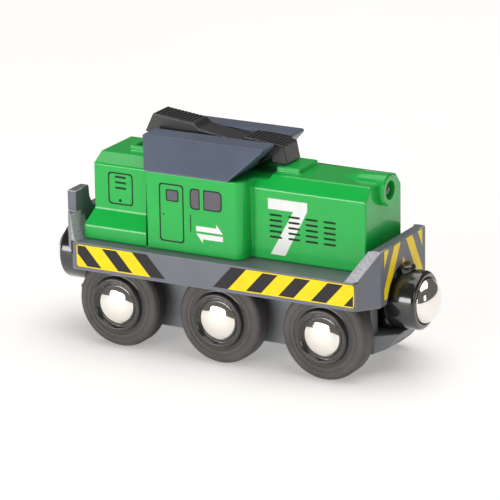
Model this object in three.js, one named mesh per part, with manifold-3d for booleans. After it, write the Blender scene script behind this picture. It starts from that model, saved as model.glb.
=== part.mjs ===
// Battery-powered toy locomotive for wooden railway track, in millimetres.
// +X points to the headlight end and +Z up; z = 0 is the running surface under the wheels.
import * as THREE from "three";
import { mergeVertices } from "three/addons/utils/BufferGeometryUtils.js";
import { ConvexGeometry } from "three/addons/geometries/ConvexGeometry.js";
import Module from "manifold-3d";

// Frame: skirt, deck and end plates in one moulding
const SKIRT_LENGTH = 78.7;
const SKIRT_WIDTH = 35;
const SKIRT_BOTTOM = 18.9;
const SKIRT_HEIGHT = 7.2;
const SKIRT_WALL = 2;
const DECK_THICKNESS = 1.6;
const NOSE_STEP = 4.15; // how far each end plate stands out beyond the skirt
const PLATE_WIDTH = 24.6;
const PLATE_THICKNESS = 2.5;
const FRONT_PLATE_RISE = 7; // above the deck
const REAR_PLATE_RISE = 11.4;
const REAR_WING_RISE = 6;
const REAR_PLATE_DROP = 3.2; // the rear plate's lower edge, below the deck top
const ACCESS_NOTCH = { topHalf: 6, bottomHalf: 4, depth: 5.6 };

// Running gear
const AXLE_RADIUS = 1;
const WHEEL_RADIUS = 11.3;
const AXLE_SPACING = 28.6;
const MIDDLE_AXLE_X = 1.5;
const TYRE_INNER_FACE = 11.1;
const TYRE_WIDTH = 5.4;
const TYRE_DEPTH = 3.2; // radial thickness of the tyre band
const TYRE_SHOULDER = 0.8;
const HUB_COLLAR_RADIUS = 6.9;
const HUB_COLLAR_HEIGHT = 1.5; // beyond the tyre's outer face
const CAP_RADIUS = 5.1;
const CAP_SEAT_DEPTH = 1.1; // the cap's seat, below the collar's rim
const CAP_CROWN = 0.6; // the cap's centre, beyond the collar's rim

// Lower chassis, which holds the axles and the gears
const CHASSIS_HALF_WIDTH = 9.3;
const CHASSIS_WALL = 1.2;
const CHASSIS_BOTTOM = WHEEL_RADIUS - 6.5;
const CHASSIS_HALF_LENGTH = SKIRT_LENGTH / 2 + 0.05;
const TROUGH_HALF_LENGTH = 33;
const NOSE_LENGTH = 5.6; // rounded nose beyond the cheeks
const COVER_THICKNESS = 1;

// Couplers
const COUPLER_HEIGHT = 18.2;
const NOSE_TOP = COUPLER_HEIGHT - 7.7;
const COUPLER_PIVOT_X = SKIRT_LENGTH / 2 - 0.05;
const CUP_RADIUS = 7.3;
const CUP_LENGTH = 8.7;
const CUP_BACK_OFFSET = 1.8; // the cup's back face, ahead of the pivot
const CUP_WALL = 1.15;
const MAGNET_DOME_RADIUS = 5.6;
const MAGNET_DOME_HEIGHT = 3.5;
const BARREL_RADIUS = 3;
const PIVOT_PIN_RADIUS = 1;
const COUPLER_PASSAGE_RADIUS = 8.7;

// Drive train
const GEAR_PRESSURE_ANGLE = THREE.MathUtils.degToRad(20);
const GEAR_BACKLASH = 0.16; // share of a tooth's width left free
const SLOW_MODULE = 0.5;
const FAST_MODULE = 0.4;
const AXLE_GEAR_TEETH = 20;
const IDLER_SMALL_TEETH = 8;
const IDLER_LARGE_TEETH = 26;
const PINION_TEETH = 8;
const IDLER_DIRECTION = THREE.MathUtils.degToRad(55);
const MOTOR_DIRECTION = THREE.MathUtils.degToRad(90);
const MOTOR_SIZE = { along: 12, height: 10, length: 9.5 };
const END_BELL_LENGTH = 1.5;

// Green body shell
const BODY_WALL = 1.6;
const HOOD = { halfWidth: 9.6, front: 38.3, shoulder: 17.9, topHalf: 7, top: 21 };
const CAB = { rear: -19.8, front: 7.1, halfWidth: 14, height: 19.9, corner: 2.5 };
const REAR_HOOD = { rear: -36.3, halfWidth: 11.2, shoulder: 19.1, topHalf: 7.2, top: 21.3 };
const FLARE = { rear: -38, halfWidth: 13.8, height: 3.55, top: 7.5 };
const BOSS = { rear: 11.7, front: 18.1, halfWidth: 5, top: 22.4 };
const LAMP = { height: 18.7, radius: 4, holeRadius: 2.4, proud: 1.8, length: 7, taper: 5 };
const TOP_RECESS = { rear: -28, halfWidth: 4.4, floor: 21.5, rim: 1.2, top: 23 };

// Roof and rocker, heights above the deck
const ROOF = { rear: -22.4, front: 11.1, halfWidth: 15.2, topHalf: 11, bottom: CAB.height, top: CAB.height + 8.1 };
const ROOF_SKIN = 1.4;
const ROOF_SIDE = { rear: -19.75, front: 3.5, lip: 0.8 };
const CHANNEL = { halfWidth: 4.4, floor: CAB.height + 2, wall: 1.4 };
const ROCKER_HALF_WIDTH = 3.6;
const ROCKER_PIVOT = { x: -5.3, height: CAB.height + 6 };
const ROCKER_PIN_RADIUS = 0.9;

// Battery and wiring
const CELL_RADIUS = 5.25;
const CELL_LENGTH = 44.5;
const CELL_FRONT_GAP = 0.4; // the front contact's thickness
const SPRING_LENGTH = 3;
const RUNNING_CLEARANCE = 0.05;

const DECK_TOP = SKIRT_BOTTOM + SKIRT_HEIGHT;
const DECK_UNDERSIDE = DECK_TOP - DECK_THICKNESS;
const SKIRT_END = SKIRT_LENGTH / 2;
const PLATE_FACE = SKIRT_END + NOSE_STEP;
const AXLE_HEIGHT = WHEEL_RADIUS;
const REAR_AXLE_X = MIDDLE_AXLE_X - AXLE_SPACING;
const FRONT_AXLE_X = MIDDLE_AXLE_X + AXLE_SPACING;
const AXLES = { rear: REAR_AXLE_X, middle: MIDDLE_AXLE_X, front: FRONT_AXLE_X };
const CHASSIS_INNER = CHASSIS_HALF_WIDTH - CHASSIS_WALL;
const TYRE_OUTER_FACE = TYRE_INNER_FACE + TYRE_WIDTH;
const HUB_FACE = TYRE_OUTER_FACE + HUB_COLLAR_HEIGHT;

const FINISH = {
  green: { color: 0x3cc35a, roughness: 0.28, metalness: 0 },
  slate: { color: 0x73767f, roughness: 0.5, metalness: 0 },
  roof: { color: 0x5c6270, roughness: 0.5, metalness: 0 },
  chassis: { color: 0x8c9196, roughness: 0.6, metalness: 0 },
  black: { color: 0x151517, roughness: 0.3, metalness: 0 },
  tyre: { color: 0x4b4848, roughness: 0.85, metalness: 0 },
  chrome: { color: 0xe8e4dc, roughness: 0.12, metalness: 1 },
  steel: { color: 0xb9bcc0, roughness: 0.35, metalness: 1 },
  brass: { color: 0xc9a24b, roughness: 0.35, metalness: 1 },
  gear: { color: 0xeeeae0, roughness: 0.5, metalness: 0 },
  cell: { color: 0x2b3f63, roughness: 0.35, metalness: 0.2 },
  board: { color: 0x1e6a3a, roughness: 0.5, metalness: 0 },
  lens: { color: 0xf4f2ea, roughness: 0.1, metalness: 0 },
};

const wasm = await Module();
wasm.setup();

// A closed geometry as a solid that can be joined and cut.
function solid(geometry) {
  const bare = geometry.clone();
  bare.deleteAttribute("normal");
  bare.deleteAttribute("uv");
  const merged = mergeVertices(bare, 1e-4);
  const corners = merged.index.array;
  const kept = [];
  for (let i = 0; i < corners.length; i += 3) {
    const [a, b, c] = [corners[i], corners[i + 1], corners[i + 2]];
    if (a !== b && b !== c && c !== a) kept.push(a, b, c);
  }
  return new wasm.Manifold(
    new wasm.Mesh({
      numProp: 3,
      vertProperties: merged.attributes.position.array,
      triVerts: new Uint32Array(kept),
    }),
  );
}

function geometryOf(made) {
  const mesh = made.getMesh();
  return new THREE.BufferGeometry()
    .setAttribute("position", new THREE.BufferAttribute(mesh.vertProperties, 3))
    .setIndex(new THREE.BufferAttribute(mesh.triVerts, 1));
}

function union(first, ...others) {
  return others.reduce((sum, other) => sum.add(other), first);
}

function cut(body, ...tools) {
  return tools.reduce((rest, tool) => rest.subtract(tool), body);
}

function extruded(points, depth) {
  const shape = new THREE.Shape(points.map(([u, v]) => new THREE.Vector2(u, v)));
  return new THREE.ExtrudeGeometry(shape, { depth, bevelEnabled: false });
}

// A plan outline of (x, y) points, between two heights.
function upright(points, z0, z1) {
  return solid(extruded(points, z1 - z0).translate(0, 0, z0));
}

// A side outline of (x, z) points, between two sides.
function sideways(points, y0, y1) {
  return solid(extruded(points, y1 - y0).rotateX(Math.PI / 2).translate(0, y1, 0));
}

// A section of (y, z) points, between two stations along the length.
function lengthways(points, x0, x1) {
  const [x, y, z] = [[1, 0, 0], [0, 1, 0], [0, 0, 1]].map((v) => new THREE.Vector3(...v));
  const turn = new THREE.Matrix4().makeBasis(y, z, x);
  return solid(extruded(points, x1 - x0).applyMatrix4(turn).translate(x0, 0, 0));
}

function block([x0, x1], [y0, y1], [z0, z1]) {
  const box = new THREE.BoxGeometry(x1 - x0, y1 - y0, z1 - z0);
  return solid(box.translate((x0 + x1) / 2, (y0 + y1) / 2, (z0 + z1) / 2));
}

// A box whose top rectangle may be smaller than its bottom one.
function frustum(bottom, z0, top, z1) {
  const box = new THREE.BoxGeometry(2, 2, 2);
  const corners = box.attributes.position;
  for (let i = 0; i < corners.count; i++) {
    const face = corners.getZ(i) > 0 ? top : bottom;
    corners.setXYZ(
      i,
      corners.getX(i) > 0 ? face.front : face.rear,
      Math.sign(corners.getY(i)) * face.halfWidth,
      corners.getZ(i) > 0 ? z1 : z0,
    );
  }
  return solid(box);
}

const AXIS_TURN = {
  x: (geometry) => geometry.rotateZ(-Math.PI / 2),
  y: (geometry) => geometry,
  z: (geometry) => geometry.rotateX(Math.PI / 2),
};

// A turned solid from (radius, distance along the axis) points.
function turned(profile, axis, segments, centre = [0, 0, 0]) {
  const points = profile.map(([radius, along]) => new THREE.Vector2(radius, along));
  const lathe = (list) =>
    solid(AXIS_TURN[axis](new THREE.LatheGeometry(list, segments)).translate(...centre));
  const made = lathe(points);
  return made.volume() < 0 ? lathe([...points].reverse()) : made;
}

function rod(radius, from, to, axis, segments, centre = [0, 0, 0]) {
  return turned([[0, from], [radius, from], [radius, to], [0, to]], axis, segments, centre);
}

function arc(radius, centre, from, to, steps) {
  return Array.from({ length: steps + 1 }, (_, i) => {
    const angle = from + ((to - from) * i) / steps;
    return [centre[0] + radius * Math.cos(angle), centre[1] + radius * Math.sin(angle)];
  });
}

function mirrored(points) {
  return [...points, ...[...points].reverse().map(([y, z]) => [-y, z])];
}

const locomotive = new THREE.Group();

function add(name, made, finish, parent = locomotive) {
  const mesh = new THREE.Mesh(geometryOf(made), new THREE.MeshStandardMaterial(FINISH[finish]));
  mesh.name = name;
  parent.add(mesh);
  return mesh;
}

// --- Frame ---------------------------------------------------------------
// A wing that joins the skirt's corner to an end plate: its crest slopes from the deck up to the plate.
function wing(front, side, floor, crest, bottom, rise) {
  const at = (z) => ([x, y]) => new THREE.Vector3(front * x, side * y, z);
  return solid(new ConvexGeometry([
    ...floor.map(at(bottom)),
    ...floor.map(at(DECK_TOP)),
    ...crest.map(at(DECK_TOP + rise)),
  ]));
}

const wingSlope = Math.atan2((SKIRT_WIDTH - PLATE_WIDTH) / 2, NOSE_STEP);
const wingInset = PLATE_THICKNESS / Math.sin(wingSlope);
const frontCrest = [[PLATE_FACE, PLATE_WIDTH / 2], [PLATE_FACE - wingInset, PLATE_WIDTH / 2]];
const frontFloor = [
  [SKIRT_END, SKIRT_WIDTH / 2],
  [SKIRT_END - wingInset, SKIRT_WIDTH / 2],
  ...frontCrest,
];
const RAMP_FOOT = 0.9; // how far the rear ramps start inside the skirt's end
const RAMP_INNER = 9.5;
const platesInnerFace = PLATE_FACE - PLATE_THICKNESS;
const rampShoulder = PLATE_WIDTH / 2 + PLATE_THICKNESS * Math.tan(wingSlope);
const rearFloor = [
  [SKIRT_END, SKIRT_WIDTH / 2],
  [SKIRT_END - RAMP_FOOT, SKIRT_WIDTH / 2],
  [SKIRT_END - RAMP_FOOT, RAMP_INNER],
  [PLATE_FACE, RAMP_INNER],
  [PLATE_FACE, PLATE_WIDTH / 2],
];
const rearCrest = [
  [platesInnerFace, rampShoulder],
  [platesInnerFace, RAMP_INNER],
  [PLATE_FACE, RAMP_INNER],
  [PLATE_FACE, PLATE_WIDTH / 2],
];

function endPlate(front, bottom, rise) {
  const [x0, x1] = [front * PLATE_FACE, front * (PLATE_FACE - PLATE_THICKNESS)].sort((a, b) => a - b);
  return block([x0, x1], [-PLATE_WIDTH / 2, PLATE_WIDTH / 2], [bottom, DECK_TOP + rise]);
}

const rearPlateBottom = DECK_TOP - REAR_PLATE_DROP;
const deckCorners = [
  [SKIRT_END, SKIRT_WIDTH / 2],
  [PLATE_FACE - PLATE_THICKNESS, PLATE_WIDTH / 2],
  [PLATE_FACE - PLATE_THICKNESS, -PLATE_WIDTH / 2],
  [SKIRT_END, -SKIRT_WIDTH / 2],
];
const deckPlan = [...deckCorners, ...deckCorners.map(([x, y]) => [-x, -y])];
const notchTop = DECK_TOP + REAR_PLATE_RISE;
const notchPlan = mirrored([
  [ACCESS_NOTCH.topHalf, notchTop + 1],
  [ACCESS_NOTCH.topHalf - 0.4, notchTop - ACCESS_NOTCH.depth / 2],
  [ACCESS_NOTCH.bottomHalf, notchTop - ACCESS_NOTCH.depth],
]);
const skirtInner = SKIRT_WIDTH / 2 - SKIRT_WALL;
const endInner = SKIRT_END - SKIRT_WALL;
const motorX = REAR_AXLE_X + (SLOW_MODULE * (AXLE_GEAR_TEETH + IDLER_SMALL_TEETH) / 2)
  * Math.cos(IDLER_DIRECTION);
const motorWell = MOTOR_SIZE.along / 2 + 0.6;
const bodyScrewPost = { rear: REAR_HOOD.rear + BODY_WALL + 0.3, length: 2.5, halfWidth: 3, height: 7.4 };
const bodyScrewHeight = DECK_TOP + 4.6;
const deck = upright(deckPlan, DECK_UNDERSIDE, DECK_TOP);
const skirtEnd = SKIRT_END + 0.01;
const skirt = cut(
  block([-skirtEnd, skirtEnd], [-SKIRT_WIDTH / 2, SKIRT_WIDTH / 2], [SKIRT_BOTTOM, DECK_TOP]),
  block([-endInner, endInner], [-skirtInner, skirtInner], [SKIRT_BOTTOM - 1, DECK_UNDERSIDE]),
);
const post = block(
  [bodyScrewPost.rear, bodyScrewPost.rear + bodyScrewPost.length],
  [-bodyScrewPost.halfWidth, bodyScrewPost.halfWidth],
  [DECK_TOP - 0.5, DECK_TOP + bodyScrewPost.height],
);
const passage = (front) =>
  rod(
    COUPLER_PASSAGE_RADIUS, front * (COUPLER_PIVOT_X + 1.3), front * (PLATE_FACE + 1),
    "x", 28, [0, 0, COUPLER_HEIGHT],
  );
const lugSlot = (front) => {
  const [x0, x1] = [front * (SKIRT_END + 1), front * (PLATE_FACE + 1)].sort((a, b) => a - b);
  return block([x0, x1], [-3.7, 3.7], [COUPLER_HEIGHT, COUPLER_HEIGHT + CUP_RADIUS + 2.9]);
};
const cheekBay = (front) => {
  const [x0, x1] = [front * (endInner - 0.1), front * (CHASSIS_HALF_LENGTH + 0.1)].sort((a, b) => a - b);
  const half = CHASSIS_HALF_WIDTH + 0.1;
  return block([x0, x1], [-half, half], [SKIRT_BOTTOM - 1, DECK_UNDERSIDE]);
};
const plateBay = (front) => {
  const [x0, x1] = [front * CHASSIS_HALF_LENGTH, front * (PLATE_FACE + 1)].sort((a, b) => a - b);
  return block(
    [x0, x1], [-COUPLER_PASSAGE_RADIUS, COUPLER_PASSAGE_RADIUS], [SKIRT_BOTTOM - 1, COUPLER_HEIGHT + 1.5],
  );
};
const pinHole = (front) =>
  rod(PIVOT_PIN_RADIUS, DECK_UNDERSIDE - 0.1, DECK_UNDERSIDE + 0.8, "z", 16, [front * COUPLER_PIVOT_X, 0, 0]);
const ARCH_CLEARANCE = 0.6;
const wheelArches = Object.values(AXLES).flatMap((x) =>
  [-1, 1].map((side) =>
    rod(
      WHEEL_RADIUS + ARCH_CLEARANCE, side * (TYRE_INNER_FACE - 1), side * (TYRE_OUTER_FACE + 0.3),
      "y", 32, [x, 0, AXLE_HEIGHT],
    )));
const frame = cut(
  union(
    skirt,
    deck,
    post,
    endPlate(1, SKIRT_BOTTOM, FRONT_PLATE_RISE),
    endPlate(-1, rearPlateBottom, REAR_PLATE_RISE),
    ...[-1, 1].map((side) => wing(1, side, frontFloor, frontCrest, SKIRT_BOTTOM, FRONT_PLATE_RISE)),
    ...[-1, 1].map((side) => wing(-1, side, rearFloor, rearCrest, rearPlateBottom, REAR_WING_RISE)),
  ),
  lengthways(notchPlan, -PLATE_FACE - 1, -PLATE_FACE + PLATE_THICKNESS + 1),
  block(
    [motorX - motorWell, motorX + motorWell], [-skirtInner + 4, skirtInner - 4],
    [DECK_UNDERSIDE - 1, DECK_TOP + 1],
  ),
  rod(
    1.2, bodyScrewPost.rear - 1, bodyScrewPost.rear + bodyScrewPost.length + 1,
    "x", 16, [0, 0, bodyScrewHeight],
  ),
  ...[-1, 1].flatMap((front) => [
    cheekBay(front), plateBay(front), passage(front), lugSlot(front), pinHole(front),
  ]),
  ...wheelArches,
  block([SKIRT_END, PLATE_FACE + 1], [-4, 4], [DECK_UNDERSIDE - 1, COUPLER_HEIGHT + CUP_RADIUS + 2.9]),
);
add("frame", frame, "slate");

// --- Lower chassis and its cover -------------------------------------------
const FRONT_TROUGH_STEP = 0.8; // the trough stops a little short of the front coupler's bay
const noseTip = CHASSIS_HALF_LENGTH + NOSE_LENGTH;
const bayHalfWidth = 5.5;
const bayStart = COUPLER_PIVOT_X - 5.3;
const chassisSide = [
  [CHASSIS_HALF_LENGTH, DECK_UNDERSIDE],
  [CHASSIS_HALF_LENGTH, NOSE_TOP],
  [noseTip, NOSE_TOP],
  [noseTip - 2.4, CHASSIS_BOTTOM + 2.1],
  [CHASSIS_HALF_LENGTH - 2.5, CHASSIS_BOTTOM],
];
const nosePlan = [
  ...arc(noseTip, [0, 0], -Math.asin(5 / noseTip), Math.asin(5 / noseTip), 6),
  [CHASSIS_HALF_LENGTH + 0.8, CHASSIS_HALF_WIDTH],
];
const nosePoints = [[CHASSIS_HALF_LENGTH + 0.8, -CHASSIS_HALF_WIDTH], ...nosePlan];
const bothEnds = (points) => [...points, ...points.map(([a, b]) => [-a, -b])];
const chassisOutline = [
  ...chassisSide.map(([x, z]) => [x, z]),
  ...[...chassisSide].reverse().map(([x, z]) => [-x, z]),
];
const webPlaces = [MIDDLE_AXLE_X - AXLE_SPACING / 2, MIDDLE_AXLE_X + AXLE_SPACING / 2];
const coverTop = CHASSIS_BOTTOM + COVER_THICKNESS;
const coverHalfLength = TROUGH_HALF_LENGTH - 0.6;
const webTop = coverTop + 5;
const inner = [-CHASSIS_INNER, CHASSIS_INNER];
const cheekScrewX = bayStart + 2.4;
const cheekScrewY = (bayHalfWidth + CHASSIS_HALF_WIDTH) / 2;
const cheekScrewPlaces = [-1, 1].flatMap((front) =>
  [-1, 1].map((side) => [front * cheekScrewX, side * cheekScrewY]));
const SCREW = { head: 1.6, shank: 0.8, headHeight: 1 };
const cheekScrewHead = CHASSIS_BOTTOM + 9;
const axleRunning = AXLE_RADIUS + RUNNING_CLEARANCE;
const axleSlot = (x) =>
  union(
    block([x - axleRunning, x + axleRunning], [-20, 20], [0, AXLE_HEIGHT]),
    rod(axleRunning, -20, 20, "y", 16, [x, 0, AXLE_HEIGHT]),
  );
const idlerReach = (SLOW_MODULE * (AXLE_GEAR_TEETH + IDLER_SMALL_TEETH)) / 2;
const idlerX = REAR_AXLE_X + idlerReach * Math.cos(IDLER_DIRECTION);
const idlerZ = AXLE_HEIGHT + idlerReach * Math.sin(IDLER_DIRECTION);
const IDLER_PIN_RADIUS = 0.6;
const idlerPinHalfLength = CHASSIS_INNER + CHASSIS_WALL / 2;
const couplerBay = (front) => {
  const [x0, x1] = [front * bayStart, front * (noseTip + 1)].sort((a, b) => a - b);
  return block([x0, x1], [-bayHalfWidth, bayHalfWidth], [NOSE_TOP, DECK_TOP]);
};
const lowerChassis = cut(
  union(
    cut(
      sideways(chassisOutline, -CHASSIS_HALF_WIDTH, CHASSIS_HALF_WIDTH)
        .intersect(upright(bothEnds(nosePoints), 0, DECK_TOP)),
      block(
        [-TROUGH_HALF_LENGTH, TROUGH_HALF_LENGTH - FRONT_TROUGH_STEP], inner, [CHASSIS_BOTTOM - 1, DECK_TOP],
      ),
    ),
    ...webPlaces.map((x) =>
      block([x - 2.2, x + 2.2], [-CHASSIS_INNER - 0.1, CHASSIS_INNER + 0.1], [coverTop, webTop])),
  ),
  couplerBay(1),
  couplerBay(-1),
  ...Object.values(AXLES).map(axleSlot),
  ...webPlaces.map((x) => rod(SCREW.shank, 0, coverTop + 4, "z", 12, [x, 0, 0])),
  ...[-1, 1].map((front) =>
    rod(PIVOT_PIN_RADIUS, NOSE_TOP - 2, NOSE_TOP + 1, "z", 16, [front * COUPLER_PIVOT_X, 0, 0])),
  ...cheekScrewPlaces.map(([x, y]) => rod(SCREW.shank, 0, DECK_TOP, "z", 12, [x, y, 0])),
  ...cheekScrewPlaces.map(([x, y]) => rod(SCREW.head + 0.1, 0, cheekScrewHead, "z", 12, [x, y, 0])),
  rod(IDLER_PIN_RADIUS, -idlerPinHalfLength, idlerPinHalfLength, "y", 12, [idlerX, 0, idlerZ]),
);
add("lower_chassis", lowerChassis, "chassis");

const slotPost = (x, side) => {
  const [y0, y1] = [side * (CHASSIS_INNER - 1), side * CHASSIS_HALF_WIDTH].sort((a, b) => a - b);
  return block([x - AXLE_RADIUS, x + AXLE_RADIUS], [y0, y1], [CHASSIS_BOTTOM, AXLE_HEIGHT - axleRunning]);
};
const bottomCover = cut(
  union(
    block(
      [-coverHalfLength, coverHalfLength - FRONT_TROUGH_STEP], [-CHASSIS_INNER + 0.1, CHASSIS_INNER - 0.1],
      [CHASSIS_BOTTOM, coverTop],
    ),
    ...Object.values(AXLES).flatMap((x) => [-1, 1].map((side) => slotPost(x, side))),
  ),
  ...webPlaces.map((x) => rod(SCREW.shank, 0, coverTop + 1, "z", 12, [x, 0, 0])),
  ...webPlaces.map((x) => rod(SCREW.head, 0, CHASSIS_BOTTOM + SCREW.headHeight - 0.3, "z", 12, [x, 0, 0])),
);
add("bottom_cover", bottomCover, "chassis");

// A countersunk-slot screw pointing up, its head's lower face at z0.
function screw(name, [x, y], z0, length, headHeight) {
  const body = turned(
    [
      [0, 0], [SCREW.head, 0], [SCREW.head, headHeight],
      [SCREW.shank, headHeight], [SCREW.shank, length], [0, length],
    ],
    "z", 12, [x, y, z0],
  );
  const slot = block([x - 2, x + 2], [y - 0.2, y + 0.2], [z0 - 1, z0 + 0.3]);
  add(name, cut(body, slot), "steel");
}
webPlaces.forEach((x, i) =>
  screw(
    ["cover_screw_rear", "cover_screw_front"][i],
    [x, 0], CHASSIS_BOTTOM, coverTop + 4 - CHASSIS_BOTTOM, SCREW.headHeight - 0.3,
  ));
const cheekScrewNames = ["rear_right", "rear_left", "front_right", "front_left"];
cheekScrewPlaces.forEach((place, i) =>
  screw(
    `chassis_screw_${cheekScrewNames[i]}`,
    place, cheekScrewHead - SCREW.headHeight,
    DECK_UNDERSIDE - cheekScrewHead + SCREW.headHeight, SCREW.headHeight,
  ));

// --- Wheelsets ---------------------------------------------------------------
const TYRE_SEAT_RADIUS = WHEEL_RADIUS - TYRE_DEPTH;
const tyreProfile = [
  [TYRE_SEAT_RADIUS, TYRE_INNER_FACE],
  [WHEEL_RADIUS - TYRE_SHOULDER, TYRE_INNER_FACE],
  [WHEEL_RADIUS, TYRE_INNER_FACE + TYRE_SHOULDER],
  [WHEEL_RADIUS, TYRE_OUTER_FACE - TYRE_SHOULDER],
  [WHEEL_RADIUS - TYRE_SHOULDER, TYRE_OUTER_FACE],
  [TYRE_SEAT_RADIUS, TYRE_OUTER_FACE],
  [TYRE_SEAT_RADIUS, TYRE_INNER_FACE],
];
const CAP_SEAT = HUB_FACE - CAP_SEAT_DEPTH;
const HUB_BORE = AXLE_RADIUS + 0.02;
const hubProfile = [
  [HUB_BORE, TYRE_INNER_FACE],
  [TYRE_SEAT_RADIUS, TYRE_INNER_FACE],
  [TYRE_SEAT_RADIUS, TYRE_OUTER_FACE],
  [HUB_COLLAR_RADIUS, TYRE_OUTER_FACE],
  [HUB_COLLAR_RADIUS, HUB_FACE],
  [CAP_RADIUS, HUB_FACE],
  [CAP_RADIUS, CAP_SEAT],
  [HUB_BORE, CAP_SEAT],
  [HUB_BORE, TYRE_INNER_FACE],
];
const capRise = CAP_SEAT_DEPTH + CAP_CROWN;
const capSphere = (CAP_RADIUS ** 2 + capRise ** 2) / (2 * capRise);
const capProfile = [
  [0, CAP_SEAT],
  ...arc(capSphere, [0, CAP_SEAT + capRise - capSphere], Math.acos(CAP_RADIUS / capSphere), Math.PI / 2, 4),
];
const axleHalfLength = CAP_SEAT;
const flipped = (profile, side) => profile.map(([radius, along]) => [radius, side * along]);

for (const [place, x] of Object.entries(AXLES)) {
  const wheelset = new THREE.Group();
  wheelset.position.set(x, 0, AXLE_HEIGHT);
  locomotive.add(wheelset);
  add(place + "_axle", rod(AXLE_RADIUS, -axleHalfLength, axleHalfLength, "y", 16), "steel", wheelset);
  for (const [side, hand] of [[-1, "right"], [1, "left"]]) {
    const name = place + "_" + hand;
    add(name + "_tyre", turned(flipped(tyreProfile, side), "y", 28), "tyre", wheelset);
    add(name + "_wheel", turned(flipped(hubProfile, side), "y", 28), "black", wheelset);
    add(name + "_cap", turned(flipped(capProfile, side), "y", 20), "chrome", wheelset);
  }
}

// --- Gear train ----------------------------------------------------------------
// Stub-toothed outline about the origin; one tooth is centred on the phase angle.
function gearOutline(teeth, module, phase) {
  const pitch = (module * teeth) / 2;
  const tip = pitch + 0.75 * module;
  const root = pitch - 1.1 * module;
  const half = (Math.PI / teeth / 2) * (1 - GEAR_BACKLASH);
  const tipHalf = half - (Math.tan(GEAR_PRESSURE_ANGLE) * (tip - pitch)) / tip;
  const widened = half + (Math.tan(GEAR_PRESSURE_ANGLE) * (pitch - root)) / root;
  const rootHalf = Math.min(widened, (0.9 * Math.PI) / teeth);
  return Array.from({ length: teeth }, (_, i) => {
    const centre = phase + (2 * Math.PI * i) / teeth;
    return [[root, -rootHalf], [tip, -tipHalf], [tip, tipHalf], [root, rootHalf]].map(([radius, turn]) => [
      radius * Math.cos(centre + turn),
      radius * Math.sin(centre + turn),
    ]);
  }).flat();
}
const SLOW_GEARS = [3.6, 5.6]; // stations of the slow pair across the loco
const FAST_GEARS = [5.9, 7.2];
const MOTOR_SHAFT_RADIUS = 0.5;
const motorReach = (FAST_MODULE * (IDLER_LARGE_TEETH + PINION_TEETH)) / 2;
const motorShaftX = idlerX + motorReach * Math.cos(MOTOR_DIRECTION);
const motorShaftZ = idlerZ + motorReach * Math.sin(MOTOR_DIRECTION);

const gearbox = new THREE.Group();
gearbox.position.set(REAR_AXLE_X, 0, AXLE_HEIGHT);
locomotive.add(gearbox);
add(
  "axle_gear",
  cut(
    sideways(gearOutline(AXLE_GEAR_TEETH, SLOW_MODULE, IDLER_DIRECTION), ...SLOW_GEARS),
    rod(AXLE_RADIUS, 0, 9, "y", 16),
  ),
  "gear",
  gearbox,
);
const idlerSmallPhase = IDLER_DIRECTION + Math.PI + Math.PI / IDLER_SMALL_TEETH;
const idlerGear = cut(
  union(
    sideways(gearOutline(IDLER_SMALL_TEETH, SLOW_MODULE, idlerSmallPhase), SLOW_GEARS[0], FAST_GEARS[1]),
    sideways(gearOutline(IDLER_LARGE_TEETH, FAST_MODULE, MOTOR_DIRECTION), ...FAST_GEARS),
  ),
  rod(IDLER_PIN_RADIUS + RUNNING_CLEARANCE, 0, 9, "y", 12),
);
add("idler_gear", idlerGear, "gear").position.set(idlerX, 0, idlerZ);
add(
  "idler_pin",
  rod(IDLER_PIN_RADIUS, -idlerPinHalfLength, idlerPinHalfLength, "y", 12, [idlerX, 0, idlerZ]),
  "steel",
);

const motorFace = SLOW_GEARS[0] - 0.5;
const canSection = (half, tall) => [[half, tall - 2], [half - 2, tall], [-half + 2, tall], [-half, tall - 2]];
const roundedCan = (shrink) => {
  const upper = canSection(MOTOR_SIZE.along / 2 - shrink, MOTOR_SIZE.height / 2 - shrink);
  return [...upper, ...upper.map(([u, v]) => [-u, -v])];
};
const motor = new THREE.Group();
motor.position.set(motorShaftX, 0, motorShaftZ);
locomotive.add(motor);
const shaftInCan = motorFace - 3;
add(
  "motor_can",
  cut(
    sideways(roundedCan(0), motorFace - MOTOR_SIZE.length, motorFace),
    rod(MOTOR_SHAFT_RADIUS + RUNNING_CLEARANCE, shaftInCan - 0.2, 9, "y", 12),
  ),
  "steel",
  motor,
);
const bellFace = motorFace - MOTOR_SIZE.length;
add("motor_end_bell", sideways(roundedCan(0.4), bellFace - END_BELL_LENGTH, bellFace), "black", motor);
const pinionPhase = MOTOR_DIRECTION + Math.PI + Math.PI / PINION_TEETH;
add(
  "motor_pinion",
  union(
    sideways(gearOutline(PINION_TEETH, FAST_MODULE, pinionPhase), ...FAST_GEARS),
    rod(MOTOR_SHAFT_RADIUS, shaftInCan, FAST_GEARS[1] + 0.3, "y", 12),
  ),
  "brass",
  motor,
);

// --- Couplers --------------------------------------------------------------------
const cupBack = CUP_BACK_OFFSET;
const cupFront = cupBack + CUP_LENGTH;
const magnetRadius = CUP_RADIUS - CUP_WALL - RUNNING_CLEARANCE;
const LIP_LENGTH = 0.9;
const lipStart = cupFront - LIP_LENGTH;
const CUP_EDGE = 1.4;
const cupProfile = [
  [0, cupBack],
  [CUP_RADIUS - CUP_EDGE, cupBack],
  [CUP_RADIUS, cupBack + CUP_EDGE],
  [CUP_RADIUS, cupFront - 1],
  [CUP_RADIUS - 0.7, cupFront],
  [MAGNET_DOME_RADIUS + RUNNING_CLEARANCE, cupFront],
  [MAGNET_DOME_RADIUS + RUNNING_CLEARANCE, lipStart],
  [CUP_RADIUS - CUP_WALL, lipStart],
  [CUP_RADIUS - CUP_WALL, cupBack + CUP_EDGE],
  [0, cupBack + CUP_EDGE],
];
const domeCentre = cupFront - 0.4;
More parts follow.
